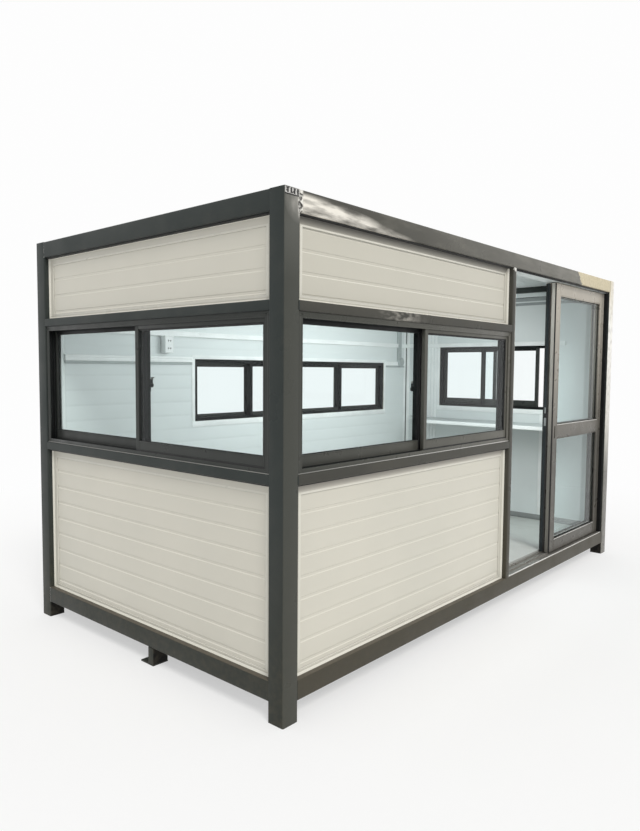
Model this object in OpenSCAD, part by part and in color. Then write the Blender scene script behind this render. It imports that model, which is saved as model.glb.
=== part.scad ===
// Container office: a welded steel frame of square tube, filled with insulated sandwich panels,
// with sliding windows on all four sides and a two-leaf glazed sliding door in the front.
// X runs along the front, Y from the front to the back and Z up, in millimetres.
// The origin is at the middle of the footprint, on the ground.

/* [Overall size] */
// Length of the cabin along the front
length = 4240; // [3800:10:6000]
// Width of the cabin from front to back
width = 2260; // [2000:10:3000]
// Height from the ground to the top of the frame
height = 2460; // [2400:10:3000]

/* [Steel frame] */
// Outer size of the square tube of the posts and beams
tube = 100; // [80:5:120]
// Clear height under the bottom beams
foot_h = 100; // [50:5:200]
// Height of the rails above and below the windows
rail_h = 50; // [40:5:80]
// Width of the post beside the doorway
door_post_w = 50; // [50:5:100]
// Left face of the door post, from the outside of the left wall
door_post_x = 2232; // [2000:1:2400]
// Spacing of the roof joists, from the left wall's top beam
joist_pitch = 1217; // [1000:1:1250]
// Width of the roof joists
joist_w = 40; // [30:5:60]
// Thickness of the middle feet, along the short walls
mid_foot_w = 48; // [30:2:80]
// Near face of the middle feet, from the front of the cabin
mid_foot_y = 1007; // [700:1:1300]
// Length of the base plate under a middle foot
foot_plate_w = 115; // [90:5:160]
// Thickness of the base plate under a middle foot
foot_plate_t = 8; // [4:1:15]

/* [Panels] */
// Thickness of the sandwich panels
panel_t = 50; // [40:5:75]
// Set-back of the panels from the face of the frame
panel_inset = 40; // [10:5:45]
// Thickness of the roof panel, down from the top of the frame
roof_t = 50; // [40:5:75]
// Height of the finished floor above the bottom beams
floor_rise = 20; // [5:1:40]
// Thickness of the floor deck between the bottom beams
deck_t = 60; // [40:5:90]

/* [Windows] */
// Top of the sill rail, above the ground
sill_z = 1170; // [1000:1:1300]
// Underside of the head rail, above the ground
head_z = 1920; // [1700:1:2100]
// Set-back of the window frames from the face of the frame
window_inset = 8; // [5:1:30]
// Depth of a window frame, across both tracks
window_depth = 76; // [70:2:90]
// Visible width of a window frame at the sides and top
window_frame_w = 30; // [20:1:45]
// Visible height of a window's bottom track
window_track_h = 25; // [15:1:35]
// Thickness of a sash
sash_t = 24; // [20:1:30]
// Width of a sash's stiles
sash_stile_w = 30; // [26:1:70]
// How much deeper than its sash the meeting stile of an inner sash is
interlock_d = 20; // [4:1:30]
// Height of a sash's top rail
sash_top_h = 32; // [20:1:60]
// Height of a sash's bottom rail
sash_bottom_h = 55; // [40:1:80]
// Height of a back sash's bottom rail
back_sash_bottom_h = 22; // [16:1:80]
// Thickness of the window glass
window_glass_t = 5; // [3:0.5:10]
// How far a sash slips into the head and the jambs of its frame
sash_slip = 12; // [4:1:16]
// Left edge of the front window's outer sash, from the left of its opening
front_meet = 1068; // [900:1:1200]
// Left edge of the left window's outer sash, from the left of its opening
left_meet = 987; // [900:1:1200]
// Left edge of the right window's outer sash, from the left of its opening
right_meet = 588; // [400:1:800]

/* [Back window] */
// Wall between the back window's opening and the right corner post
back_window_gap = 405; // [200:5:800]
// Width of the back window's opening
back_window_w = 2510; // [1500:10:2600]
// Bottom of the back window's opening, above the ground
back_window_z = 1240; // [1000:5:1400]
// Height of the back window's opening
back_window_h = 490; // [400:5:800]
// Line between the first and second sash of the back window, from its opening's left edge
back_meet_1 = 722; // [600:1:800]
// Line between the second and third sash
back_meet_2 = 1317; // [1200:1:1400]
// Line between the third and fourth sash
back_meet_3 = 1911; // [1800:1:2000]
// Gap between two sashes that close against each other
meet_gap = 1; // [0.5:0.5:3]

/* [Right window] */
// Front edge of the right window's opening, from the front of the cabin
right_window_y = 530; // [400:5:800]
// Width of the right window's opening
right_window_w = 1210; // [800:10:1400]
// Bottom of the right window's opening, above the ground
right_window_z = 1285; // [1000:5:1400]
// Height of the right window's opening
right_window_h = 620; // [400:5:800]
// How far the right window's front sash stands open
right_sash_open = 105; // [0:5:300]

/* [Sliding door] */
// Width of each door leaf
leaf_w = 1046; // [950:1:1060]
// Thickness of each door leaf
leaf_t = 40; // [24:1:44]
// Width of a leaf's stiles
leaf_stile_w = 84; // [50:1:100]
// Height of a leaf's top rail
leaf_top_h = 92; // [60:1:140]
// Height of a leaf's bottom rail
leaf_bottom_h = 93; // [60:1:140]
// Height of a leaf's middle rail
leaf_mid_h = 106; // [60:1:140]
// Underside of the middle rail, above the bottom of the leaf
leaf_mid_z = 912; // [700:1:1100]
// Thickness of the door glass
door_glass_t = 6; // [4:0.5:10]
// Set-back of the outer leaf from the face of the frame
leaf_inset = 42; // [20:1:45]
// Gap between the two leaves
leaf_gap = 6; // [5:0.5:12]
// Running gap round the leaves
leaf_clear = 7; // [5:0.5:12]
// Gap between a leaf's rollers and its rail
roller_gap = 0.3; // [0.2:0.1:1]
// Thickness of the door's jambs
jamb_t = 15; // [8:1:20]
// Thickness of the door's head track
head_track_t = 10; // [6:1:16]
// Thickness of the door's threshold
threshold_t = 4; // [2:1:8]
// Height of the rails on the threshold
track_rail_h = 6; // [5:0.5:12]
// Thickness of the rails on the threshold
track_rail_t = 5; // [3:0.5:8]
// Set-back of the door's jambs, head track and threshold from the face of the frame
track_inset = 12; // [5:1:30]
// Depth of the jambs, head track and threshold behind the inner leaf
track_back = 5; // [2:1:15]

/* [Door pull] */
// Height of the pull's recess
pull_h = 100; // [60:5:106]
// Width of the pull's recess
pull_w = 20; // [14:1:30]
// Depth of the pull's recess
pull_d = 10; // [5:1:12]

/* [Counter] */
// Depth of the counter along the right wall
counter_d = 395; // [250:5:500]
// Thickness of the counter's top
counter_t = 35; // [20:1:50]
// Top of the counter, above the ground
counter_z = 1155; // [900:5:1200]
// Front end of the counter, from the front of the cabin
counter_y = 150; // [140:5:800]
// Gap between the counter's back end and the back wall
counter_gap = 65; // [0:5:200]
// Width of the counter's back end, beside its cut-off corner
counter_end_w = 10; // [5:5:240]

/* [Hidden] */

steel = [0.29, 0.29, 0.28];
cream = [0.86, 0.85, 0.80];
aluminium = [0.33, 0.33, 0.32];
clear_glass = [0.75, 0.86, 0.88, 0.5];
white = [0.94, 0.95, 0.95];

eps = 0.01;

// Levels of the frame
beam_z0 = foot_h;
beam_z1 = foot_h + tube;
top_z0 = height - tube;
wall_in = panel_inset + panel_t;
floor_z = beam_z1 + floor_rise;

// Openings in the front and left walls, between the posts
front_bay_w = door_post_x - tube;
left_bay_w = width - 2 * tube;
window_bay_h = head_z - sill_z;

// Left edge of the back window's opening, as seen from behind
back_window_x = tube + back_window_gap;

// The doorway
door_x0 = door_post_x + door_post_w;
door_x1 = length - tube;
leaf_z0 = beam_z1 + threshold_t + track_rail_h + roller_gap;
leaf_z1 = top_z0 - head_track_t - leaf_clear;
leaf_h = leaf_z1 - leaf_z0;
leaf_x = door_x1 - jamb_t - leaf_clear - leaf_w;
outer_leaf_y = leaf_inset;
inner_leaf_y = outer_leaf_y + leaf_t + leaf_gap;
track_y0 = track_inset;
track_y1 = inner_leaf_y + leaf_t + track_back;

// Places the whole cabin with its middle on the origin
module cabin() { translate([-length / 2, -width / 2, 0]) children(); }

// Turn a wall that is drawn facing the front to each of the other sides, from its left end
module left_side() { translate([0, width, 0]) rotate(-90) children(); }
module back_side() { translate([length, width, 0]) rotate(180) children(); }
module right_side() { translate([length, 0, 0]) rotate(90) children(); }

// A box between two opposite corners
module block(lo, hi) { translate(lo) cube(hi - lo); }

// ---- Steel frame ----

module corner_post(x, y) {
    color(steel) cabin() block([x, y, 0], [x + tube, y + tube, height]);
}

// A beam between two corner posts, with its underside at z
module beam(run, z) {
    block([tube, 0, z], [run - tube, tube, z + tube]);
}

module door_post() {
    color(steel) cabin()
        block([door_post_x, 0, beam_z1], [door_x0, tube, top_z0]);
}

// A rail across a wall's bay, as deep as the posts
module rail(bay, z) {
    block([tube, 0, z], [tube + bay, tube, z + rail_h]);
}

// The rails at one height in the front and left walls
module rails(z) {
    color(steel) cabin() {
        rail(front_bay_w, z);
        left_side() rail(left_bay_w, z);
    }
}

// Joists from the front top beam to the back one, under the roof panel
module roof_joists() {
    color(steel) cabin()
        for (x = [tube + joist_pitch : joist_pitch : length - 2 * tube])
            block([x, tube, top_z0], [x + joist_w, width - tube, height - roof_t]);
}

// One foot under the middle of a short wall's bottom beam, on its base plate
module mid_foot() {
    block([0, mid_foot_y, foot_plate_t], [tube, mid_foot_y + mid_foot_w, beam_z0]);
    block([0, mid_foot_y, 0], [tube, mid_foot_y + foot_plate_w, foot_plate_t]);
}

module mid_feet() {
    color(steel) cabin() {
        mid_foot();
        translate([length, 0, 0]) mirror([1, 0, 0]) mid_foot();
    }
}

// ---- Panels ----

// A panel in a wall that faces the front, from one end to the other
module panel(x0, x1, z0, z1) {
    block([x0, panel_inset, z0], [x1, wall_in, z1]);
}

// The two full-height panels beside a window's opening
module end_panels(run, x0, x1) {
    panel(tube, x0, beam_z1, top_z0);
    panel(x1, run - tube, beam_z1, top_z0);
}

// The panels above and below a window's opening
module middle_panels(x0, x1, z0, z1) {
    panel(x0, x1, beam_z1, z0);
    panel(x0, x1, z1, top_z0);
}

module roof_panel() {
    color(cream) cabin()
        block([tube, tube, height - roof_t], [length - tube, width - tube, height]);
}

// The deck between the bottom beams, cut back where the door's threshold lies
module floor_deck() {
    color([0.62, 0.62, 0.58]) cabin() difference() {
        block([tube, tube, beam_z1 - deck_t], [length - tube, width - tube, floor_z]);
        block([door_x0, tube - eps, beam_z1], [length - tube + eps, track_y1, floor_z + eps]);
    }
}

// The counter's top, with its back corner cut off at 45 degrees
module counter() {
    x0 = length - wall_in - counter_d;
    x1 = length - wall_in;
    y1 = width - wall_in - counter_gap;
    cut = counter_d - counter_end_w;
    color(white) cabin() translate([0, 0, counter_z - counter_t])
        linear_extrude(counter_t)
            polygon([[x0, counter_y], [x1, counter_y], [x1, y1],
                     [x0 + cut, y1], [x0, y1 - cut]]);
}

// ---- Sliding windows, drawn facing the front ----

outer_sash_y = window_inset + (window_depth / 2 - sash_t) / 2;
inner_sash_y = outer_sash_y + window_depth / 2;
jamb_groove = window_frame_w - sash_slip;

// Each sash is its left edge, its right edge and its place across the frame,
// and an inner sash also has the left edge of its deeper meeting stile
function sash_pair(w, meet, open = 0) = [
    [jamb_groove + open, meet + sash_stile_w + open, inner_sash_y, meet + open],
    [meet, w - jamb_groove, outer_sash_y]
];
front_sashes = sash_pair(front_bay_w, front_meet);
left_sashes = sash_pair(left_bay_w, left_meet);
right_sashes = sash_pair(right_window_w, right_meet, right_sash_open);
back_sashes = [
    [jamb_groove, back_meet_1 + sash_stile_w / 2, outer_sash_y],
    [back_meet_1 - sash_stile_w / 2, back_meet_2 - meet_gap / 2, inner_sash_y,
     back_meet_1 - sash_stile_w / 2],
    [back_meet_2 + meet_gap / 2, back_meet_3 + sash_stile_w / 2, inner_sash_y,
     back_meet_3 - sash_stile_w / 2],
    [back_meet_3 - sash_stile_w / 2, back_window_w - jamb_groove, outer_sash_y]
];

// The frame: two jambs and a head with grooves for the sashes, and a bottom track
module window_frame(w, h) {
    difference() {
        block([0, window_inset, 0], [w, window_inset + window_depth, h]);
        block([window_frame_w, window_inset - eps, window_track_h],
              [w - window_frame_w, window_inset + window_depth + eps, h - window_frame_w]);
        for (y = [outer_sash_y, inner_sash_y])
            block([jamb_groove - roller_gap, y - roller_gap, window_track_h],
                  [w - jamb_groove + roller_gap, y + sash_t + roller_gap,
                   h - window_frame_w + sash_slip + roller_gap]);
    }
}

// The space between a sash's stiles and rails, t thick, over a bottom rail that is low high
module sash_light(sash, h, t, low) {
    block([sash[0] + sash_stile_w, sash[2] + (sash_t - t) / 2, window_track_h + low],
          [sash[1] - sash_stile_w, sash[2] + (sash_t + t) / 2,
           h - window_frame_w + sash_slip - sash_top_h]);
}

module window_sashes(sashes, h, low = sash_bottom_h) {
    for (sash = sashes) {
        difference() {
            block([sash[0], sash[2], window_track_h],
                  [sash[1], sash[2] + sash_t, h - window_frame_w + sash_slip]);
            sash_light(sash, h, sash_t + 2 * eps, low);
        }
        if (sash[2] == inner_sash_y)
            block([sash[3], sash[2] + sash_t / 2, window_track_h],
                  [sash[3] + sash_stile_w, sash[2] + sash_t + interlock_d, h - window_frame_w]);
    }
}

module window_glass(sashes, h, low = sash_bottom_h) {
    for (sash = sashes) sash_light(sash, h, window_glass_t, low);
}

module front_window() { cabin() translate([tube, 0, sill_z]) children(); }
module left_window() { cabin() left_side() translate([tube, 0, sill_z]) children(); }
module back_window() {
    cabin() back_side() translate([back_window_x, 0, back_window_z]) children();
}
module right_window() { cabin() right_side() translate([right_window_y, 0, right_window_z]) children(); }

module all_window_glass() {
    color(clear_glass) {
        front_window() window_glass(front_sashes, window_bay_h);
        left_window() window_glass(left_sashes, window_bay_h);
        back_window() window_glass(back_sashes, back_window_h, back_sash_bottom_h);
        right_window() window_glass(right_sashes, right_window_h);
    }
}

// ---- Sliding door ----

module door_jambs() {
    color(aluminium) cabin()
        for (x = [door_x0, door_x1 - jamb_t])
            block([x, track_y0, beam_z1 + threshold_t], [x + jamb_t, track_y1, top_z0 - head_track_t]);
}

module door_head_track() {
    color(aluminium) cabin()
        block([door_x0, track_y0, top_z0 - head_track_t], [door_x1, track_y1, top_z0]);
}

// The threshold plate with one raised rail under each leaf
module door_threshold() {
    color(aluminium) cabin() {
        block([door_x0, track_y0, beam_z1], [door_x1, track_y1, beam_z1 + threshold_t]);
        for (y = [outer_leaf_y, inner_leaf_y])
            translate([0, y + (leaf_t - track_rail_t) / 2, 0])
                block([door_x0 + jamb_t, 0, beam_z1 + threshold_t - eps],
                      [door_x1 - jamb_t, track_rail_t, beam_z1 + threshold_t + track_rail_h]);
    }
}

// A leaf's stiles and rails, round an upper and a lower pane
module leaf_frame() {
    difference() {
        cube([leaf_w, leaf_t, leaf_h]);
        leaf_light(leaf_bottom_h, leaf_mid_z, leaf_t + 2 * eps);
        leaf_light(leaf_mid_z + leaf_mid_h, leaf_h - leaf_top_h, leaf_t + 2 * eps);
    }
}

// The space between the stiles from one height to another, t thick
module leaf_light(z0, z1, t) {
    block([leaf_stile_w, (leaf_t - t) / 2, z0], [leaf_w - leaf_stile_w, (leaf_t + t) / 2, z1]);
}

module leaf_glass() {
    leaf_light(leaf_bottom_h, leaf_mid_z, door_glass_t);
    leaf_light(leaf_mid_z + leaf_mid_h, leaf_h - leaf_top_h, door_glass_t);
}

module outer_leaf() { cabin() translate([leaf_x, outer_leaf_y, leaf_z0]) children(); }
module inner_leaf() { cabin() translate([leaf_x, inner_leaf_y, leaf_z0]) children(); }

// The outer leaf has a recessed pull in its left stile
module outer_leaf_frame() {
    color(aluminium) outer_leaf() difference() {
        leaf_frame();
        translate([(leaf_stile_w - pull_w) / 2, -eps, leaf_mid_z])
            cube([pull_w, pull_d, pull_h]);
    }
}

corner_post(0, 0);  // corner_post_front_left
corner_post(length - tube, 0);  // corner_post_front_right
corner_post(0, width - tube);  // corner_post_back_left
corner_post(length - tube, width - tube);  // corner_post_back_right
color(steel) cabin() beam(length, top_z0);  // top_beam_front
color(steel) cabin() back_side() beam(length, top_z0);  // top_beam_back
color(steel) cabin() left_side() beam(width, top_z0);  // top_beam_left
color(steel) cabin() right_side() beam(width, top_z0);  // top_beam_right
color(steel) cabin() beam(length, beam_z0);  // bottom_beam_front
color(steel) cabin() back_side() beam(length, beam_z0);  // bottom_beam_back
color(steel) cabin() left_side() beam(width, beam_z0);  // bottom_beam_left
color(steel) cabin() right_side() beam(width, beam_z0);  // bottom_beam_right
door_post();
roof_joists();
rails(head_z);  // head_rails
rails(sill_z - rail_h);  // sill_rails
mid_feet();
color(cream) cabin() panel(tube, tube + front_bay_w, head_z + rail_h, top_z0);  // panel_front_upper
color(cream) cabin() panel(tube, tube + front_bay_w, beam_z1, sill_z - rail_h);  // panel_front_lower
color(cream) cabin() left_side() panel(tube, tube + left_bay_w, head_z + rail_h, top_z0);  // panel_left_upper
color(cream) cabin() left_side() panel(tube, tube + left_bay_w, beam_z1, sill_z - rail_h);  // panel_left_lower
color(cream) cabin() back_side()  // panels_back_ends
        end_panels(length, back_window_x, back_window_x + back_window_w);
color(cream) cabin() back_side()  // panels_back_middle
        middle_panels(back_window_x, back_window_x + back_window_w,
                      back_window_z, back_window_z + back_window_h);
color(cream) cabin() right_side()  // panels_right_ends
        end_panels(width, right_window_y, right_window_y + right_window_w);
color(cream) cabin() right_side()  // panels_right_middle
        middle_panels(right_window_y, right_window_y + right_window_w,
                      right_window_z, right_window_z + right_window_h);
roof_panel();
floor_deck();
counter();
color(aluminium) front_window() window_frame(front_bay_w, window_bay_h);  // window_front_frame
color(aluminium) front_window() window_sashes(front_sashes, window_bay_h);  // window_front_sashes
color(aluminium) left_window() window_frame(left_bay_w, window_bay_h);  // window_left_frame
color(aluminium) left_window() window_sashes(left_sashes, window_bay_h);  // window_left_sashes
color(aluminium) back_window() window_frame(back_window_w, back_window_h);  // window_back_frame
color(aluminium) back_window() window_sashes(back_sashes, back_window_h, back_sash_bottom_h);  // window_back_sashes
color(aluminium) right_window() window_frame(right_window_w, right_window_h);  // window_right_frame
color(aluminium) right_window() window_sashes(right_sashes, right_window_h);  // window_right_sashes
all_window_glass();  // window_glass
door_jambs();
door_head_track();
door_threshold();
outer_leaf_frame();
color(clear_glass) outer_leaf() leaf_glass();  // outer_leaf_glass
color(aluminium) inner_leaf() leaf_frame();  // inner_leaf_frame
color(clear_glass) inner_leaf() leaf_glass();  // inner_leaf_glass
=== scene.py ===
import math

import bmesh
import bpy
from mathutils import Matrix, Vector


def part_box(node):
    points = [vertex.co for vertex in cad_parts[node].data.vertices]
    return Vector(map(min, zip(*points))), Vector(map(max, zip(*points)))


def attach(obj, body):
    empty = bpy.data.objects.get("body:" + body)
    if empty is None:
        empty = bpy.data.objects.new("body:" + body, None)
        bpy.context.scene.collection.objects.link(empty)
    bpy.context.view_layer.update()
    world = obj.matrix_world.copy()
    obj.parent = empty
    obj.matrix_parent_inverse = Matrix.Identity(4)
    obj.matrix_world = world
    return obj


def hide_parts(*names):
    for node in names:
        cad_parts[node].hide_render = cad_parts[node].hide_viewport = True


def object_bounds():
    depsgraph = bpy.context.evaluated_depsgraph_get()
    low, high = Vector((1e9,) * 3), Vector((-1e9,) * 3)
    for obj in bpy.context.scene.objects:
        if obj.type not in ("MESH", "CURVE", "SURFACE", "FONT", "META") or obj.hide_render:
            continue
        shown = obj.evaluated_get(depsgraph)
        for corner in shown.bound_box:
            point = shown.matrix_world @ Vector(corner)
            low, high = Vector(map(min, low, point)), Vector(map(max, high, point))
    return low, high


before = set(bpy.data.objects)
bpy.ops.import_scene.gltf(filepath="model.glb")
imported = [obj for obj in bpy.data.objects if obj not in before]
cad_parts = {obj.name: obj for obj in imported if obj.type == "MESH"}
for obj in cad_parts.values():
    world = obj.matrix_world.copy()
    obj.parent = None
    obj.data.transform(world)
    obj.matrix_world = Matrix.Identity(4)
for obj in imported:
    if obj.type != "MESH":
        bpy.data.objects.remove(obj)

cad_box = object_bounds()

# ---------------------------------------------------------------- sizes of the cabin

half_long, half_wide, top = cad_box[1]
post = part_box("corner_post_front_left")
tube = post[1].x - post[0].x
beam_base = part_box("bottom_beam_front")[0].z
beam_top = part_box("bottom_beam_front")[1].z
head_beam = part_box("top_beam_front")[0].z
sill_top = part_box("sill_rails")[1].z
sill_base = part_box("sill_rails")[0].z
head_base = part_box("head_rails")[0].z
head_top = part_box("head_rails")[1].z
door_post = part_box("door_post")
panel_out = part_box("panel_front_lower")[0].y + half_wide
panel_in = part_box("panel_front_lower")[1].y + half_wide
floor_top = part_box("floor_deck")[1].z

# Each wall is modelled facing the front and then turned to its side
TURN = {"front": 0, "left": -90, "back": 180, "right": 90}
HALF_RUN = {"front": half_long, "left": half_wide, "back": half_long, "right": half_wide}
DEPTH = {"front": half_wide, "left": half_long, "back": half_wide, "right": half_long}

# places closer together than this are one place
SAME = 1e-5

# ---------------------------------------------------------------- modelling by hand


def near(first, second, gap=SAME):
    return abs(first - second) < gap


def let_go():
    if bpy.context.object and bpy.context.object.mode != "OBJECT":
        bpy.ops.object.mode_set(mode="OBJECT")
    bpy.ops.object.select_all(action="DESELECT")


def take(piece):
    let_go()
    piece.select_set(True)
    bpy.context.view_layer.objects.active = piece


def settle(piece):
    """Puts a piece's place, turn and size into its mesh."""
    take(piece)
    bpy.ops.object.transform_apply(location=True, rotation=True, scale=True)
    return piece


def block(name, lo, hi):
    """A block between two corners, to be shaped further."""
    let_go()
    lo, hi = Vector(lo), Vector(hi)
    bpy.ops.mesh.primitive_cube_add(size=1, location=(lo + hi) / 2, scale=hi - lo)
    piece = bpy.context.object
    piece.name = piece.data.name = name
    return settle(piece)


def open_up(piece, faces=None, edges=None):
    """Opens a piece for shaping with only the wanted faces or edges picked."""
    take(piece)
    bpy.ops.object.mode_set(mode="EDIT")
    bpy.ops.mesh.select_mode(type="FACE" if faces else "EDGE")
    bpy.ops.mesh.select_all(action="DESELECT")
    mesh = bmesh.from_edit_mesh(piece.data)
    for part, wanted in ((mesh.faces, faces), (mesh.edges, edges)):
        if wanted:
            for item in part:
                if wanted(item):
                    item.select_set(True)
    bmesh.update_edit_mesh(piece.data)


def close_up():
    bpy.ops.object.mode_set(mode="OBJECT")


def all_over(_):
    return True


def along(axis):
    """Picks the edges that run along one axis."""
    return lambda e: abs((e.verts[0].co - e.verts[1].co).normalized()[axis]) > 0.99


def facing(axis, sign):
    """Picks the faces that look along one axis."""
    return lambda f: f.normal[axis] * sign > 0.9


def middle(item):
    return sum((v.co for v in item.verts), Vector()) / len(item.verts)


def round_off(piece, size, wanted=all_over, steps=2):
    open_up(piece, edges=wanted)
    bpy.ops.mesh.bevel(offset=size, segments=steps, affect="EDGES")
    close_up()
    return piece


def cut(piece, axis, at):
    """Cuts all round a piece across one axis."""
    open_up(piece, faces=all_over)
    point, normal = Vector(), Vector()
    point[axis], normal[axis] = at, 1
    bpy.ops.mesh.bisect(plane_co=point, plane_no=normal)
    close_up()


def push(piece, wanted, move, by="faces"):
    open_up(piece, **{by: wanted})
    bpy.ops.transform.translate(value=move)
    close_up()


def take_away(piece, wanted):
    open_up(piece, faces=wanted)
    bpy.ops.mesh.delete(type="FACE")
    close_up()


def on_corner(edge, lo, hi):
    """Whether an edge lies where two outer sides of a block meet."""
    at = middle(edge)
    return sum(near(at[a], lo[a]) or near(at[a], hi[a]) for a in range(3)) > 1


def bar(lo, hi, round_by=0.0012, groove=None, steps=2):
    """One length of section. A groove is the axis and side it faces, its margin and its depth."""
    piece = block("bar", lo, hi)
    if groove:
        axis, sign, margin, depth = groove
        move = Vector()
        move[axis] = -sign * depth
        open_up(piece, faces=facing(axis, sign))
        bpy.ops.mesh.inset(thickness=margin)
        bpy.ops.mesh.inset(thickness=depth)
        bpy.ops.transform.translate(value=move)
        close_up()
    if round_by:
        thinnest = min(Vector(hi) - Vector(lo))
        round_off(piece, min(round_by, thinnest / 3), lambda e: on_corner(e, lo, hi), steps)
    return piece


def ring(x0, x1, y0, y1, z0, z1, wide, round_by=0):
    """Four bars round an opening that faces the front, its uprights full height."""
    return [
        bar((x0, y0, z0), (x0 + wide, y1, z1), round_by),
        bar((x1 - wide, y0, z0), (x1, y1, z1), round_by),
        bar((x0 + wide, y0, z0), (x1 - wide, y1, z0 + wide), round_by),
        bar((x0 + wide, y0, z1 - wide), (x1 - wide, y1, z1), round_by),
    ]


def join(name, parts):
    let_go()
    for part in parts:
        part.select_set(True)
    bpy.context.view_layer.objects.active = parts[0]
    if len(parts) > 1:
        bpy.ops.object.join()
    piece = bpy.context.object
    piece.name = piece.data.name = name
    return piece


def repeat(piece, count, step, weld=True):
    """Repeats a piece along a step, welding what meets."""
    take(piece)
    row = piece.modifiers.new("row", "ARRAY")
    row.count = count
    row.use_relative_offset = False
    row.use_constant_offset = True
    row.constant_offset_displace = step
    row.use_merge_vertices = weld
    row.merge_threshold = SAME
    bpy.ops.object.modifier_apply(modifier=row.name)
    return piece


def turned(piece, side):
    piece.rotation_euler.z = math.radians(TURN[side])
    return settle(piece)


def paint(piece, *finishes):
    piece.data.materials.clear()
    for finish in finishes:
        piece.data.materials.append(finish)


def paint_faces(piece, wanted, index):
    for face in piece.data.polygons:
        if wanted(face):
            face.material_index = index


def done(piece, finishes, slot, body="cabin", instead_of=(), smooth=32):
    take(piece)
    bpy.ops.object.shade_smooth_by_angle(angle=math.radians(smooth))
    keep = [f.material_index for f in piece.data.polygons]
    paint(piece, *finishes)
    for face, index in zip(piece.data.polygons, keep):
        face.material_index = min(index, len(finishes) - 1)
    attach(piece, body)
    if instead_of:
        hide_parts(*instead_of)
    return piece


def fit(name, parts, finish, slot, side="front", **more):
    """Joins parts made facing the front, turns them to their side and finishes them as one piece."""
    return done(turned(join(name, parts), side), [finish], slot, **more)


# ---------------------------------------------------------------- finishes


def start_finish(name, colour, roughness, metallic=0.0):
    finish = bpy.data.materials.new(name)
    finish.use_nodes = True
    tree = finish.node_tree
    shader = tree.nodes["Principled BSDF"]
    shader.inputs["Base Color"].default_value = (*colour, 1)
    shader.inputs["Roughness"].default_value = roughness
    shader.inputs["Metallic"].default_value = metallic
    where = tree.nodes.new("ShaderNodeTexCoord").outputs["Object"]
    return finish, tree, shader, where


def spread(tree, value, low, high, to_low=0.0, to_high=1.0):
    ramp = tree.nodes.new("ShaderNodeMapRange")
    ramp.inputs["From Min"].default_value = low
    ramp.inputs["From Max"].default_value = high
    ramp.inputs["To Min"].default_value = to_low
    ramp.inputs["To Max"].default_value = to_high
    tree.links.new(value, ramp.inputs["Value"])
    return ramp.outputs["Result"]


def patches(tree, where, scale, low, high, stretch=(1, 1, 1), detail=4, shift=(0, 0, 0)):
    """Cloudy patches, 0 between them and 1 on them."""
    place = tree.nodes.new("ShaderNodeMapping")
    place.inputs["Scale"].default_value = stretch
    place.inputs["Location"].default_value = shift
    tree.links.new(where, place.inputs["Vector"])
    noise = tree.nodes.new("ShaderNodeTexNoise")
    noise.inputs["Scale"].default_value = scale
    noise.inputs["Detail"].default_value = detail
    tree.links.new(place.outputs["Vector"], noise.inputs["Vector"])
    return spread(tree, noise.outputs["Fac"], low, high)


def level(tree, where, axis, low, high):
    """0 before one place along an axis and 1 past another."""
    parts = tree.nodes.new("ShaderNodeSeparateXYZ")
    tree.links.new(where, parts.inputs["Vector"])
    return spread(tree, parts.outputs["XYZ"[axis]], low, high)


def near_to(tree, where, place, reach):
    """1 at one place, fading to 0 at the given reach."""
    gap = tree.nodes.new("ShaderNodeVectorMath")
    gap.operation = "DISTANCE"
    tree.links.new(where, gap.inputs[0])
    gap.inputs[1].default_value = place
    return spread(tree, gap.outputs["Value"], reach, 0)


def sums(tree, operation, first, second):
    step = tree.nodes.new("ShaderNodeMath")
    step.operation = operation
    for socket, value in zip(step.inputs, (first, second)):
        if isinstance(value, (int, float)):
            socket.default_value = value
        else:
            tree.links.new(value, socket)
    return step.outputs["Value"]


def times(tree, first, second):
    return sums(tree, "MULTIPLY", first, second)


def add(tree, first, second):
    return sums(tree, "ADD", first, second)


def blend_colour(tree, share, first, second):
    mix = tree.nodes.new("ShaderNodeMix")
    mix.data_type = "RGBA"
    tree.links.new(share, mix.inputs["Factor"])
    for socket, value in ((mix.inputs[6], first), (mix.inputs[7], second)):
        if isinstance(value, tuple):
            socket.default_value = (*value, 1)
        else:
            tree.links.new(value, socket)
    return mix.outputs[2]


def lay(tree, under, over, share, *shares):
    """Lays one colour over another, by the product of the shares."""
    for other in shares:
        share = times(tree, share, other)
    return blend_colour(tree, share, under, over)


def tint(colour, share):
    return tuple(min(1, c * share) for c in colour)


def roughen(tree, shader, share, low, high):
    tree.links.new(spread(tree, share, 0, 1, low, high), shader.inputs["Roughness"])


def relief(tree, shader, height, strength, distance):
    bump = tree.nodes.new("ShaderNodeBump")
    bump.inputs["Strength"].default_value = strength
    bump.inputs["Distance"].default_value = distance
    tree.links.new(height, bump.inputs["Height"])
    tree.links.new(bump.outputs["Normal"], shader.inputs["Normal"])


PLAIN = (0.030, 0.0365, 0.0345), (0.039, 0.045, 0.042)
# Lighter tones for the tubes that face the front: painted light, as the front faces catch more light than the
# sides
FRONT_LIT = (0.054, 0.053, 0.045), (0.068, 0.065, 0.054)
# Lighter tones for the tops of the bottom tubes: painted light from above
TOP_LIT = (0.100, 0.094, 0.084), (0.120, 0.112, 0.100)
# Near black tones for the sides under the floor: painted shade
UNDER_SHADE = (0.004, 0.004, 0.004), (0.006, 0.006, 0.006)
WARMTH = (0.90, 0.83, 0.70)


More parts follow.
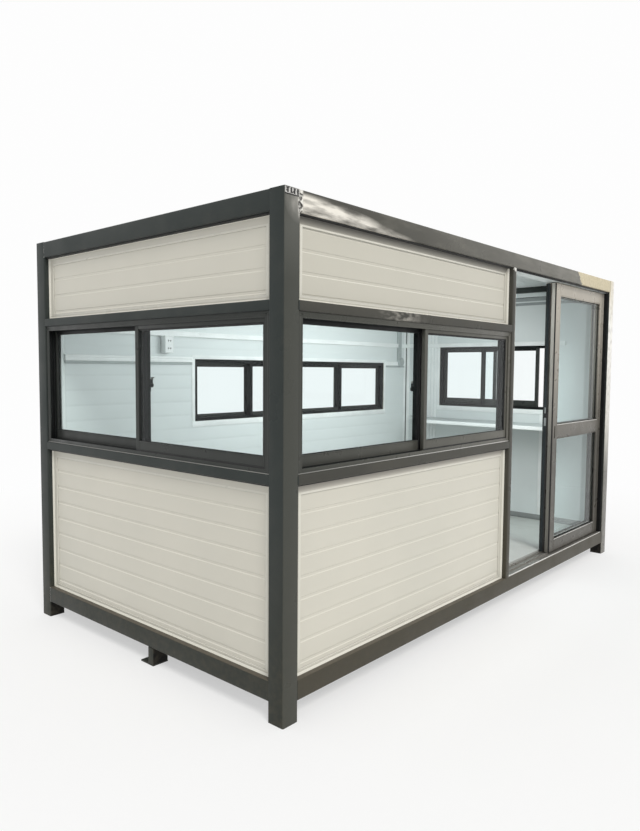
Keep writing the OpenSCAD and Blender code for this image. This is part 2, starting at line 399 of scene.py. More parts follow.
def frame_paint(name, marks=None, tones=PLAIN):
    """Dark grey paint on steel: cloudy, rubbed and nicked, warmer and dustier towards the ground."""
    dark, light = tones
    finish, tree, shader, where = start_finish(name, light, 0.36)
    colour = blend_colour(tree, patches(tree, where, 3.0, 0.35, 0.7), dark, light)
    warm = tuple(c * share for c, share in zip(light, WARMTH))
    colour = lay(tree, colour, warm, level(tree, where, 2, 1.0, 0.15), 0.8)
    rub = patches(tree, where, 7, 0.52, 0.80, detail=8, shift=(3, 1, 2))
    colour = lay(tree, colour, (0.068, 0.068, 0.060), rub, 0.30)
    nicks = patches(tree, where, 150, 0.72, 0.76, detail=2, shift=(5, 9, 1))
    colour = lay(tree, colour, (0.12, 0.11, 0.095), nicks, 0.5)
    dust = patches(tree, where, 26, 0.42, 0.68, detail=9)
    colour = lay(tree, colour, (0.075, 0.066, 0.048), dust, level(tree, where, 2, 0.60, 0.05), 0.45)
    if marks:
        colour = marks(tree, where, colour)
        roughen(tree, shader, patches(tree, where, 6, 0.35, 0.65, detail=6), 0.26, 0.42)
    else:
        roughen(tree, shader, patches(tree, where, 5, 0.3, 0.7, shift=(1, 4, 2)), 0.28, 0.46)
    tree.links.new(colour, shader.inputs["Base Color"])
    relief(tree, shader, patches(tree, where, 320, 0.2, 0.8, detail=2), 0.10, 0.0004)
    shader.inputs["Specular IOR Level"].default_value = 0.15
    return finish


def weld_marks(tree, where, colour):
    """Blotchy bright metal and scorched paint down the near corner's joint."""
    x = -half_long + tube + 0.002
    blots = patches(tree, where, 75, 0.42, 0.56, detail=5, shift=(7, 7, 3))
    burnt = blend_colour(tree, blots, (0.035, 0.033, 0.030), (0.82, 0.80, 0.74))
    left_edge = level(tree, where, 0, x - 0.015, x - 0.009)
    right_edge = level(tree, where, 0, x + 0.020, x + 0.010)
    height = level(tree, where, 2, head_beam - 0.03, head_beam + 0.01)
    return lay(tree, colour, burnt, left_edge, right_edge, height)


def primer_end(tree, where, colour):
    """Yellow primer at the beam's far end, up to a ragged slanting line."""
    start = 2.62
    lean = tree.nodes.new("ShaderNodeMapping")
    lean.inputs["Rotation"].default_value = (0, 0.75, 0)
    tree.links.new(where, lean.inputs["Vector"])
    parts = tree.nodes.new("ShaderNodeSeparateXYZ")
    tree.links.new(lean.outputs["Vector"], parts.inputs["Vector"])
    ragged = times(tree, patches(tree, where, 30, 0.2, 0.8, detail=6, shift=(1, 1, 4)), 0.05)
    primer = spread(tree, add(tree, ragged, parts.outputs["X"]), start, start + 0.01)
    fine = patches(tree, where, 75, 0.3, 0.7, detail=8)
    yellow = blend_colour(tree, fine, (0.50, 0.44, 0.29), (0.68, 0.60, 0.43))
    return blend_colour(tree, primer, colour, yellow)


def beam_marks(tree, where, colour):
    """The long front beam: paler to the right, partly from thinner paint and partly a painted reflection of
    bright sky at a grazing angle; polished streaks by the joint, primer at the far end.
    """
    cloud = patches(tree, where, 5, 0.2, 0.8, stretch=(0.5, 1, 1.6), detail=7, shift=(4, 1, 2))
    # paler towards the far end: partly thinner paint, partly a painted reflection of bright sky
    thin_paint_and_sheen = times(tree, level(tree, where, 0, -1.9, 1.7), spread(tree, cloud, 0, 1, 0.72, 1.15))
    colour = lay(tree, colour, (0.218, 0.210, 0.185), thin_paint_and_sheen)
    scuffs = patches(tree, where, 11, 0.52, 0.74, stretch=(0.35, 1, 1.3), detail=8, shift=(8, 2, 1))
    colour = lay(tree, colour, (0.26, 0.25, 0.21), scuffs, 0.30)
    # the streaks end at a ragged line that falls steeply to the right
    fall = 7.7
    slope = tree.nodes.new("ShaderNodeVectorMath")
    slope.operation = "DOT_PRODUCT"
    slope.inputs[1].default_value = (1, 0, fall)
    tree.links.new(where, slope.inputs[0])
    cloud = patches(tree, where, 9, 0.2, 0.8, stretch=(0.5, 1, 1), detail=7, shift=(3, 3, 9))
    ragged = times(tree, cloud, 0.26)
    start = head_beam * fall - 1.02
    before = spread(tree, add(tree, slope.outputs["Value"], ragged), start + 0.10, start - 0.22)
    streaks = patches(tree, where, 17, 0.30, 0.55, stretch=(0.30, 1, 1.7), detail=10, shift=(2.3, 2, 7))
    bright = blend_colour(tree, streaks, (0.20, 0.19, 0.17), (0.86, 0.82, 0.74))
    colour = lay(tree, colour, bright, before, level(tree, where, 2, top - 0.006, top - 0.030))
    colour = weld_marks(tree, where, colour)
    grain = patches(tree, where, 24, 0.40, 0.66, stretch=(0.3, 1, 1.5), detail=8, shift=(1, 5, 5))
    colour = lay(tree, colour, (0.085, 0.085, 0.075), grain, thin_paint_and_sheen, 0.45)
    return primer_end(tree, where, colour)


def rail_marks(tree, where, colour):
    """A pale streaky patch on the head rail's front, near its upper edge."""
    spot = near_to(tree, where, (-1.2, -half_wide, head_top - 0.016), 0.26)
    lines = patches(tree, where, 34, 0.40, 0.66, stretch=(0.5, 1, 1.4), detail=10, shift=(6, 2, 4))
    return lay(tree, colour, (0.38, 0.36, 0.32), spot, lines, 0.9)


def joint_marks(tree, where, colour):
    """Paint burnt off to bright steel beside the near corner's weld; the front face painted lighter and given
    a soft sheen near its head, both painted light.
    """
    spot = near_to(tree, where, (-half_long + tube + 0.01, -half_wide, top - 0.045), 0.115)
    # the front face is painted lighter: a painted reflection of the bright front
    front = level(tree, where, 1, -half_wide + 0.006, -half_wide + 0.003)
    colour = lay(tree, colour, (0.078, 0.078, 0.066), front, 0.65)
    lines = patches(tree, where, 26, 0.05, 0.65, stretch=(1.2, 1, 0.6), detail=6, shift=(4, 4, 1))
    colour = lay(tree, colour, (0.52, 0.50, 0.46), spot, front, lines)
    sheen = near_to(tree, where, (-half_long + tube * 0.6, -half_wide, top - 0.16), 0.24)
    colour = lay(tree, colour, (0.24, 0.24, 0.22), sheen, front, 0.22)
    return weld_marks(tree, where, colour)


def edge_marks(tree, where, colour):
    """Rubbed bright along its right edge, more so higher up, with a painted highlight of the rounded edge in
    it; bright weld at its head.
    """
    right = door_post[1].x
    # pale along the right edge, more so higher up: partly rubbed paint, partly a painted highlight of the
    # rounded edge
    edge = level(tree, where, 0, right - 0.013, right - 0.008)
    worn = patches(tree, where, 14, 0.30, 0.60, stretch=(1, 1, 0.3), detail=6, shift=(2, 7, 3))
    colour = lay(tree, colour, (0.42, 0.41, 0.37), edge, worn, level(tree, where, 2, 0.9, 1.9))
    head = near_to(tree, where, (right - 0.016, -half_wide, head_beam), 0.055)
    return lay(tree, colour, (0.72, 0.71, 0.67), spread(tree, head, 0.45, 0.65))


def bare_and_sheen_marks(tree, where, colour):
    """Rubbed back to pale metal, brighter towards the top with a painted reflection of bright sky. Nothing of
    the paint below is left.
    """
    pale = blend_colour(tree, level(tree, where, 2, 0.75, 1.25), (0.175, 0.17, 0.155), (0.70, 0.68, 0.63))
    pale = lay(tree, pale, (0.90, 0.885, 0.84), level(tree, where, 2, 1.3, 1.9))
    blots = patches(tree, where, 38, 0.46, 0.66, stretch=(1, 1, 0.5), detail=8, shift=(3, 8, 5))
    pale = lay(tree, pale, (0.30, 0.285, 0.25), blots, 0.40)
    streak = patches(tree, where, 45, 0.35, 0.6, stretch=(1, 1, 0.08), detail=6)
    return lay(tree, pale, (0.62, 0.55, 0.40), streak, level(tree, where, 2, 2.05, 2.4), 0.9)


def sheet_skin(name, light, dark, roughness, dirt):
    """Coil-coated sheet: a faint orange peel, slow colour drift and a little dust."""
    finish, tree, shader, where = start_finish(name, light, roughness)
    colour = blend_colour(tree, patches(tree, where, 1.6, 0.3, 0.7, detail=3), light, dark)
    drift = patches(tree, where, 5, 0.25, 0.75, detail=5, shift=(2, 6, 1))
    colour = lay(tree, colour, tint(dark, 0.90), drift, dirt)
    tree.links.new(colour, shader.inputs["Base Color"])
    roughen(tree, shader, patches(tree, where, 6, 0.3, 0.7), roughness - 0.06, roughness + 0.08)
    relief(tree, shader, patches(tree, where, 3.2, 0.2, 0.8, detail=2, shift=(9, 1, 1)), 0.12, 0.003)
    return finish


def section_metal(name, colour, roughness, metallic, pale=None, dull=None):
    """Drawn aluminium with a satin coat and a cloudy sheen, paler towards its head or duller to the left.
    Paler towards the head is a painted reflection of bright sky.
    """
    finish, tree, shader, where = start_finish(name, colour, roughness, metallic)
    drawn = patches(tree, where, 45, 0.3, 0.7, detail=5)
    tone = blend_colour(tree, drawn, tint(colour, 0.97), tint(colour, 1.03))
    tone = lay(tree, tone, tint(colour, 1.25), patches(tree, where, 4, 0.35, 0.7, shift=(3, 3, 3)), 0.35)
    dust = patches(tree, where, 12, 0.5, 0.8, detail=5, shift=(6, 1, 8))
    tone = lay(tree, tone, tint(colour, 1.6), dust, 0.10)
    if pale:
        tone = lay(tree, tone, pale, level(tree, where, 2, 1.05, 2.15))
    if dull:
        tone = lay(tree, tone, dull, level(tree, where, 0, 0.2, -half_long + tube))
    tree.links.new(tone, shader.inputs["Base Color"])
    worn = patches(tree, where, 11, 0.3, 0.7, shift=(1, 7, 1))
    roughen(tree, shader, worn, roughness - 0.07, roughness + 0.10)
    shader.inputs["Specular IOR Level"].default_value = 0.2
    return finish


def clear_glass():
    """Clear glass with a faint blue-green cast that lets the lamps through."""
    finish, tree, shader, where = start_finish("clear_glass", (0.93, 0.975, 0.975), 0.0)
    shader.inputs["Transmission Weight"].default_value = 1.0
    shader.inputs["IOR"].default_value = 1.16
    roughen(tree, shader, patches(tree, where, 5, 0.52, 0.85, stretch=(1, 1, 0.5), detail=7), 0.0, 0.035)
    seen_through = tree.nodes.new("ShaderNodeBsdfTransparent")
    seen_through.inputs["Color"].default_value = (0.93, 0.97, 0.97, 1)
    rays = tree.nodes.new("ShaderNodeLightPath")
    mix = tree.nodes.new("ShaderNodeMixShader")
    tree.links.new(rays.outputs["Is Shadow Ray"], mix.inputs["Fac"])
    tree.links.new(shader.outputs["BSDF"], mix.inputs[1])
    tree.links.new(seen_through.outputs["BSDF"], mix.inputs[2])
    tree.links.new(mix.outputs["Shader"], tree.nodes["Material Output"].inputs["Surface"])
    return finish


def plain_plastic(name, colour, roughness, grain=900, fade=0.12):
    """Moulded plastic, laminate or sealant with slow fading and a fine grain."""
    finish, tree, shader, where = start_finish(name, colour, roughness)
    tone = blend_colour(tree, patches(tree, where, 7, 0.35, 0.75, detail=6), colour, tint(colour, 1 - fade))
    tree.links.new(tone, shader.inputs["Base Color"])
    roughen(tree, shader, patches(tree, where, 18, 0.3, 0.7), roughness - 0.05, roughness + 0.1)
    if grain:
        relief(tree, shader, patches(tree, where, grain, 0.2, 0.8, detail=1), 0.08, 0.0002)
    return finish


def weld_metal():
    finish, tree, shader, where = start_finish("weld_metal", (0.45, 0.44, 0.42), 0.38, 0.85)
    burnt = patches(tree, where, 120, 0.45, 0.62, detail=6)
    colour = blend_colour(tree, burnt, (0.66, 0.65, 0.62), (0.09, 0.085, 0.08))
    tree.links.new(colour, shader.inputs["Base Color"])
    relief(tree, shader, patches(tree, where, 400, 0.2, 0.8, detail=4), 0.4, 0.001)
    return finish


def floor_sheet():
    """Flecked grey floor sheet with scuffs that run across the cabin."""
    finish, tree, shader, where = start_finish("floor_sheet", (0.55, 0.56, 0.53), 0.42)
    flecks = patches(tree, where, 160, 0.5, 0.66, detail=5)
    colour = blend_colour(tree, times(tree, flecks, 0.5), (0.47, 0.48, 0.46), (0.36, 0.37, 0.36))
    scuffs = patches(tree, where, 6, 0.5, 0.8, stretch=(1, 0.4, 1), detail=8, shift=(2, 2, 2))
    colour = lay(tree, colour, (0.38, 0.37, 0.34), scuffs, 0.4)
    tree.links.new(colour, shader.inputs["Base Color"])
    roughen(tree, shader, scuffs, 0.30, 0.60)
    relief(tree, shader, flecks, 0.06, 0.0004)
    return finish


def shadowed_trim(name, edge, pale, dark):
    """Flashing with a painted shadow of the tube above it, darkest right under the tube."""
    finish, tree, shader, where = start_finish(name, pale, 0.5)
    cloud = patches(tree, where, 8, 0.2, 0.8, stretch=(0.3, 1, 1), detail=6)
    height = level(tree, where, 2, edge - 0.040, edge - 0.004)
    share = times(tree, height, spread(tree, cloud, 0, 1, 0.85, 1.1))
    tree.links.new(blend_colour(tree, share, pale, dark), shader.inputs["Base Color"])
    return finish


steel = frame_paint("frame_paint")
# The paints in the front tones are lighter: painted light on the tubes that face the front
front_lit_steel = frame_paint("front_lit_paint", None, FRONT_LIT)
front_steel = frame_paint("front_beam_paint", beam_marks, FRONT_LIT)
# Lighter paint for the tops of the bottom tubes: painted light from above
top_lit_steel = frame_paint("top_lit_paint", None, TOP_LIT)
# Near black paint for the sides under the floor: painted shade
under_shade_steel = frame_paint("under_shade_paint", None, UNDER_SHADE)
rail_steel = frame_paint("front_rail_paint", rail_marks, FRONT_LIT)
joint_steel = frame_paint("near_post_paint", joint_marks)
# Pale paint for the far front post's front: rubbed metal with a painted reflection of bright sky
bare_and_sheen_steel = frame_paint("rubbed_post_and_sheen", bare_and_sheen_marks)
post_steel = frame_paint("door_post_paint", edge_marks, FRONT_LIT)
weld = weld_metal()

cream = sheet_skin("cream_sheet", (0.640, 0.615, 0.535), (0.610, 0.590, 0.515), 0.36, 0.10)
# A darker copy of the cream for the front's upper bay: painted shade under the top tube
cream_shaded = sheet_skin("cream_sheet_shaded", (0.575, 0.550, 0.475), (0.555, 0.535, 0.460), 0.36, 0.10)
# Lighter creams for the upward-facing groove faces and trim edges: painted highlight of light from above
cream_lip_highlight = sheet_skin("cream_lip_highlight", (0.695, 0.670, 0.590), (0.665, 0.645, 0.565), 0.34, 0.08)
highlight_cream = sheet_skin("cream_trim_highlight", (0.74, 0.72, 0.64), (0.71, 0.69, 0.61), 0.30, 0.08)
lining = sheet_skin("white_lining", (0.74, 0.78, 0.77), (0.70, 0.74, 0.735), 0.34, 0.15)
# Flashing under the top tube and under the sill rail: painted shadow of the tube above
under_beam = shadowed_trim("shadowed_trim", head_beam, (0.38, 0.36, 0.31), (0.07, 0.068, 0.06))
under_sill = shadowed_trim("shadowed_sill_trim", sill_base, (0.60, 0.57, 0.50), (0.28, 0.255, 0.22))
sheet_floor = floor_sheet()

window_metal = section_metal("window_metal", (0.042, 0.045, 0.042), 0.34, 0.25)
# A lighter copy of the window metal for the front window: painted light on the side that faces the light;
# darker towards its left end
front_window_metal_lit = section_metal(
    "front_window_metal_lit", (0.130, 0.126, 0.108), 0.32, 0.30, dull=(0.062, 0.064, 0.056)
)
shaded_metal = section_metal("shaded_metal", (0.010, 0.011, 0.011), 0.45, 0.1)
# The door's sections grow paler towards the head: a painted reflection of bright sky
door_metal = section_metal("door_metal", (0.100, 0.094, 0.081), 0.30, 0.35, pale=(0.44, 0.405, 0.345))
# A lighter copy of the door metal for the outer leaf's end: painted light on a face that looks left
lit_edge_metal = section_metal("door_edge_metal_lit", (0.20, 0.19, 0.17), 0.35, 0.2, pale=(0.62, 0.60, 0.55))
lock_metal = section_metal("lock_edge_metal", (0.035, 0.042, 0.045), 0.35, 0.3)
plate_metal = section_metal("plate_metal", (0.30, 0.32, 0.32), 0.35, 0.4)
track_metal = section_metal("track_metal", (0.30, 0.285, 0.26), 0.30, 0.7)
# Bright metal for the latch tip, and for strips standing in for painted highlights along edges
bright_metal_and_highlight = section_metal("bright_metal_and_highlight", (0.74, 0.73, 0.70), 0.35, 0.3, dull=(0.24, 0.24, 0.225))
glass = clear_glass()

seal = plain_plastic("black_seal", (0.018, 0.018, 0.018), 0.6)
white_plastic = plain_plastic("white_plastic", (0.90, 0.92, 0.91), 0.32)
# The counter's laminate is a darker grey than its white edge band: painted shade inside the room
counter_top_shaded = plain_plastic("counter_laminate_shaded", (0.47, 0.50, 0.50), 0.42, grain=0, fade=0.04)
edge_band = plain_plastic("counter_edge_band", (0.92, 0.94, 0.93), 0.35, grain=0, fade=0.02)
skirting_grey = plain_plastic("skirting_grey", (0.25, 0.26, 0.255), 0.45)
drop_grey = plain_plastic("drop_grey", (0.42, 0.46, 0.455), 0.45)
band_grey = plain_plastic("band_grey", (0.34, 0.37, 0.37), 0.45)
caulk_grey = plain_plastic("caulk_grey", (0.52, 0.51, 0.46), 0.6)

# ---------------------------------------------------------------- steel frame

TUBE_ROUND = 0.007
END_MARGIN, END_DEEP = 0.004, 0.0015
CAP_HIGH, CAP_DEEP = 0.034, 0.003
JOIST_WIDE = 0.04
FOOT_PLATE, FOOT_THICK = 0.008, 0.048
BEAD, BEAD_DEEP, BEAD_STOP = 0.0034, 0.0036, 0.004
FLUSH_FACE, FLUSH_BACK, FLUSH_STOP = 0.0004, 0.008, 0.005


def steel_tube(name, lo, hi, axis, finish, instead_of):
    """A length of square tube with rounded corners, painted lighter on top where it lies at the bottom:
    painted light from above.
    """
    piece = round_off(block(name, lo, hi), TUBE_ROUND, along(axis), 4)
    finishes = [finish]
    if "bottom" in name:
        # the top faces take the lighter paint: painted light from above
        paint_faces(piece, lambda f: f.normal.z > 0.8, 1)
        finishes.append(top_lit_steel)
    return done(piece, finishes, "frame_steel", instead_of=instead_of)


def corner_posts():
    """Four posts with a plate let into each end. The near one has a notched cap in its head."""
    for front in ("front", "back"):
        for side in ("left", "right"):
            node = f"corner_post_{front}_{side}"
            lo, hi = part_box(node)
            piece = round_off(block(f"{node}_tube", lo, hi), TUBE_ROUND, along(2), 4)
            for sign in (-1, 1):
                open_up(piece, faces=facing(2, sign))
                bpy.ops.mesh.inset(thickness=END_MARGIN)
                bpy.ops.transform.translate(value=(0, 0, -END_DEEP * sign))
                close_up()
            finishes = [steel]
            if (front, side) == ("front", "left"):
                cap_base = hi.z - CAP_HIGH
                cut(piece, 2, cap_base)
                push(piece, lambda f: f.normal.y < -0.9 and middle(f).z > cap_base, (0, CAP_DEEP, 0))
                finishes = [joint_steel]
            elif front == "front":
                # the far front post's front faces are pale metal with a painted reflection of bright sky,
                # brighter towards the top
                paint_faces(piece, lambda f: f.normal.y < -0.35, 1)
                finishes = [steel, bare_and_sheen_steel]
            # the sides that look in under the floor are painted near black: painted shade under the cabin
            cut(piece, 2, beam_base)
            finishes.append(under_shade_steel)
            inward = lambda f: max(-f.normal[a] * math.copysign(1, f.center[a]) for a in (0, 1)) > 0.9
            paint_faces(piece, lambda f: f.center.z < beam_base and inward(f), len(finishes) - 1)
            done(piece, finishes, "frame_steel", instead_of=[node])


def beams_and_rails():
    finishes = {"top_beam_front": front_steel, "bottom_beam_front": front_lit_steel}
    for side, axis in (("front", 0), ("back", 0), ("left", 1), ("right", 1)):
        for height in ("top", "bottom"):
            node = f"{height}_beam_{side}"
            steel_tube(f"{node}_tube", *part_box(node), axis, finishes.get(node, steel), [node])
    steel_tube("door_post_tube", *door_post, 2, post_steel, ["door_post"])
    for rail, low, high in (("head", head_base, head_top), ("sill", sill_base, sill_top)):
        inner_x, inner_y = -half_long + tube, -half_wide + tube
        lo, hi = (inner_x, -half_wide, low), (door_post[0].x, inner_y, high)
        steel_tube(f"{rail}_rail_front_tube", lo, hi, 0, rail_steel, [f"{rail}_rails"])
        lo, hi = (-half_long, inner_y, low), (inner_x, half_wide - tube, high)
        steel_tube(f"{rail}_rail_left_tube", lo, hi, 1, steel, [f"{rail}_rails"])
    lo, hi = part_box("roof_joists")
    for i in range(3):
        x = lo.x + (hi.x - JOIST_WIDE - lo.x) * i / 2
        joist = block(f"roof_joist_{i + 1}", (x, lo.y, lo.z), (x + JOIST_WIDE, hi.y, hi.z))
        round_off(joist, 0.004, along(1), 3)
        done(joist, [steel], "frame_steel", instead_of=["roof_joists"])


def middle_feet():
    """A short post on a base plate under each short wall."""
    lo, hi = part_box("mid_feet")
    plate_top = lo.z + FOOT_PLATE
    for side, sign in (("left", -1), ("right", 1)):
        x0, x1 = sorted((sign * hi.x, sign * (hi.x - tube)))
        foot = block(f"middle_foot_{side}", (x0, lo.y, lo.z), (x1, hi.y, plate_top))
        cut(foot, 1, lo.y + FOOT_THICK)
        open_up(foot, faces=lambda f: f.normal.z > 0.9 and middle(f).y < lo.y + FOOT_THICK)
        bpy.ops.mesh.extrude_region_move(TRANSFORM_OT_translate={"value": (0, 0, hi.z - plate_top)})
        close_up()
        round_off(foot, 0.004, lambda e: along(2)(e) and middle(e).z > plate_top, 3)
        # the foot's sides that face front and back are painted near black: painted shade under the cabin
        paint_faces(foot, lambda f: abs(f.normal.y) > 0.9 and f.center.z > plate_top, 1)
        done(foot, [steel, under_shade_steel], "frame_steel", instead_of=["mid_feet"])


def bead(start, end, size=BEAD):
    """A run of weld, as a row of small overlapping pads from start to end."""
    run = Vector(end) - Vector(start)
    count = max(2, int(run.length / (size * 1.3)))
    let_go()
    bpy.ops.mesh.primitive_ico_sphere_add(subdivisions=2, radius=size, location=start)
    return repeat(settle(bpy.context.object), count, run / (count - 1), weld=False)


def flush_joint(x, y, low, high):
    """A painted joint ground flush with the tubes, between two places along each axis."""
    (x0, x1), (y0, y1) = sorted(x), sorted(y)
    return bar((x0, y0, low + FLUSH_STOP), (x1, y1, high - FLUSH_STOP), 0)


def welds():
    """Beads in the grooves where beams meet the back posts, and joints ground flush and painted elsewhere."""
    beads, flush = [], []
    post_x, post_y = half_long - tube, half_wide - tube
    front_face = (-half_wide + FLUSH_FACE, -half_wide + FLUSH_BACK)
    near_side = (-post_y - TUBE_ROUND, -post_y)
    for sign in (-1, 1):
        for low, high in ((beam_base, beam_top), (head_beam, top)):
            # the near corner's upper joint is left rough
            if sign > 0 or high < top:
                post_side = (sign * post_x, sign * (post_x + TUBE_ROUND))
                flush.append(flush_joint(post_side, front_face, low, high))
            side_face = (sign * (half_long - FLUSH_FACE), sign * (half_long - FLUSH_BACK))
            flush.append(flush_joint(side_face, near_side, low, high))
            for x, y in ((post_x + 0.002, half_wide - BEAD_DEEP), (half_long - BEAD_DEEP, post_y + 0.002)):
                beads.append(bead((sign * x, y, low + BEAD_STOP), (sign * x, y, high - BEAD_STOP)))
    for low, high in ((sill_base, sill_top), (head_base, head_top)):
        for x in (-post_x - TUBE_ROUND, door_post[0].x):
            flush.append(flush_joint((x, x + TUBE_ROUND), front_face, low, high))
        side_face = (-half_long + FLUSH_FACE, -half_long + FLUSH_BACK)
        for y in (-post_y - TUBE_ROUND, post_y):
            flush.append(flush_joint(side_face, (y, y + TUBE_ROUND), low, high))
    y = -half_wide + BEAD_DEEP
    for along_head in (0.004, 0.018, 0.030):
        x = door_post[0].x + along_head
        beads.append(bead((x, y, head_beam - 0.012), (x + 0.006, y, head_beam - 0.004), 0.004))
    fit("weld_beads", beads, weld, "frame_steel")
    fit("flush_joints", flush, steel, "frame_steel")


def rough_corner():
    """The near corner's upper joint, left rough and bright, and the notched cap beside it."""
    x, y = -half_long + tube, -half_wide
    rough = [
        bead((x - 0.0035, y + 0.0042, head_beam + 0.003), (x - 0.002, y + 0.0042, top - 0.034), 0.0042),
        bead((x + 0.001, y + 0.0046, top - 0.070), (x + 0.003, y + 0.0042, top - 0.008), 0.0044),
    ]
    fit("rough_corner_weld", rough, weld, "frame_steel")
    y += CAP_DEEP
    left, cap_base = -half_long + 0.003, top - CAP_HIGH
    cap = bar((left, y - 0.0012, cap_base), (x - 0.003, y + 0.001, top - 0.0025), 0.0008)
    fit("corner_cap", [cap], weld, "frame_steel")
    pitch, wide = 0.0215, 0.0095
    notches = [-half_long + 0.016 + i * pitch for i in range(4)]
    ticks = [bar((x, y - 0.0020, cap_base + 0.006), (x + wide, y, top - 0.004), 0.0006) for x in notches]
    right = notches[-1] + 0.012
    ticks.append(bar((left, y - 0.0018, cap_base - 0.001), (right, y, cap_base + 0.0035), 0.0006))
    fit("corner_cap_notches", ticks, seal, "frame_steel")


corner_posts()
beams_and_rails()
middle_feet()
welds()
rough_corner()

# ---------------------------------------------------------------- sandwich panels

PITCH = 0.1035
GROOVE_LOW, GROOVE_HIGH, GROOVE_SLOPE = 0.082, 0.097, 0.004
OUTER_GROOVE, INNER_GROOVE = 0.0022, 0.0008
# height of the top of one groove in each bay, and in the other bays
GROOVE_AT = {"left_upper_panel": 2.125, "front_upper_panel": 2.109}
OTHER_GROOVE_AT = 0.679
TRIM_WIDE, TRIM_FOOT, TRIM_LIP, TRIM_HEM = 0.052, 0.026, 0.010, 0.010
TRIM_GAUGE, TRIM_PROUD = 0.0034, 0.0012
CAULK = 0.0025
STRIP_HALF = 0.012
STRIP_STOP = 0.05


def ribbed_panel(name, side, x0, x1, z0, z1, nodes):
    """A foam-cored panel whose two skins have a shallow groove at each pitch."""
    front, back = -DEPTH[side] + panel_out, -DEPTH[side] + panel_in
    centre = (front + back) / 2
    phase = (GROOVE_AT.get(name, OTHER_GROOVE_AT) - GROOVE_HIGH) % PITCH
    base = math.floor((z0 - phase) / PITCH) * PITCH + phase
    strip = block(name, (x0, front, base), (x1, back, base + PITCH))
    low, high = base + GROOVE_LOW, base + GROOVE_HIGH - GROOVE_SLOPE
    for at in (low - GROOVE_SLOPE, low, high, high + GROOVE_SLOPE):
        cut(strip, 2, at)
    for edge, depth in ((front, OUTER_GROOVE), (back, 0.0 if side == "right" else -INNER_GROOVE)):
        bottom = lambda e: (
            along(0)(e) and near(middle(e).y, edge) and (near(middle(e).z, low) or near(middle(e).z, high))
        )
        push(strip, bottom, (0, depth, 0), by="edges")
    take_away(strip, lambda f: abs(f.normal.z) > 0.99)
    repeat(strip, math.ceil((z1 - base) / PITCH), (0, 0, PITCH))
    for at, outer in ((z0, False), (z1, True)):
        open_up(strip, faces=all_over)
        bpy.ops.mesh.bisect(
            plane_co=(0, 0, at), plane_no=(0, 0, 1), use_fill=True, clear_inner=not outer, clear_outer=outer
        )
        close_up()
    paint_faces(strip, lambda f: f.center.y > centre and f.normal.y > 0.2, 1)
    # upward-facing faces of the outer grooves take the lighter lip cream: painted highlight of light from
    # above
    paint_faces(strip, lambda f: f.center.y < centre and 0.2 < f.normal.z < 0.9, 2)
    turned(strip, side)
    # lips take a lighter cream, painted highlight; the front's upper bay also takes the darker cream of
    # painted shade
    skin, lip = (cream_shaded, highlight_cream) if name == "front_upper_panel" else (cream, cream_lip_highlight)
    return done(strip, [skin, lining, lip], "panel_skin", instead_of=nodes, smooth=12)


def on_lines(edge, across, up, gap=SAME):
    """Whether an edge lies on one of two upright or two level lines."""
    at = middle(edge)
    return any(near(at.x, x, gap) for x in across) or any(near(at.z, z, gap) for z in up)


def bay_trim(name, side, x0, x1, z0, z1):
    """A flat flashing round a bay, narrow at its foot.

    Its lip leans out to the frame, and its inner edge has a hem and a line of caulk.
    """
    face = -DEPTH[side] + panel_out - TRIM_PROUD
    a, b, c, d = x0 + TRIM_WIDE, x1 - TRIM_WIDE, z0 + TRIM_FOOT, z1 - TRIM_WIDE
    let_go()
    bpy.ops.mesh.primitive_plane_add(
        size=1, location=((x0 + x1) / 2, face, (z0 + z1) / 2), rotation=(math.pi / 2, 0, 0)
    )
    trim = bpy.context.object
    trim.name = trim.data.name = name
    trim.scale = (x1 - x0, z1 - z0, 1)
    settle(trim)
    open_up(trim, faces=all_over)
    bpy.ops.mesh.inset(thickness=TRIM_LIP)
    bpy.ops.mesh.inset(thickness=TRIM_WIDE - TRIM_LIP - TRIM_HEM)
    bpy.ops.mesh.inset(thickness=TRIM_HEM)
    bpy.ops.mesh.delete(type="FACE")
    close_up()
    hem_lines = lambda e: along(0)(e) and z0 + TRIM_LIP + 0.001 < middle(e).z < z0 + TRIM_WIDE + 0.001
    push(trim, hem_lines, (0, 0, TRIM_FOOT - TRIM_WIDE), by="edges")
    rim = lambda e: on_lines(e, (x0, x1), (z0, z1))
    push(trim, rim, (0, -TRIM_LIP * 0.8, 0), by="edges")
    push(trim, lambda e: on_lines(e, (a, b), (c, d)), (0, -TRIM_HEM / 2, 0), by="edges")
    take(trim)
    thick = trim.modifiers.new("gauge", "SOLIDIFY")
    thick.thickness = TRIM_GAUGE
    thick.offset = -1
    bpy.ops.object.modifier_apply(modifier=thick.name)
    round_off(trim, 0.0012, lambda e: middle(e).y < face - 0.0001 and on_lines(e, (a, b), (c, d), 1e-4))
    # The lip and hem take the lighter cream: painted highlight. On the front the band under the tube above
    # takes painted shadow, and in the upper bay the flat takes the darker cream of painted shade
    shaded = side == "front"
    flat = cream_shaded if shaded and z1 > head_top else cream
    shade = under_beam if z1 > head_top else under_sill
    paint_faces(trim, lambda f: f.normal.y < -0.98, 2)
    if shaded:
        under_head = lambda f: d + TRIM_HEM < f.center.z < z1 - 0.001 and a < f.center.x < b
        paint_faces(trim, under_head, 1)
    turned(trim, side)
    y0, y1 = face - 0.0012, face + 0.002
    caulk = [
        bar((a, y0, d - CAULK), (b, y1, d), 0.0008),
        bar((a, y0, c), (b, y1, c + CAULK), 0.0008),
        bar((a, y0, c + CAULK), (a + CAULK, y1, d - CAULK), 0.0008),
        bar((b - CAULK, y0, c + CAULK), (b, y1, d - CAULK), 0.0008),
    ]
    fit(name + "_caulk", caulk, caulk_grey, "panel_skin", side)
    return done(trim, [highlight_cream, shade, flat], "panel_skin")


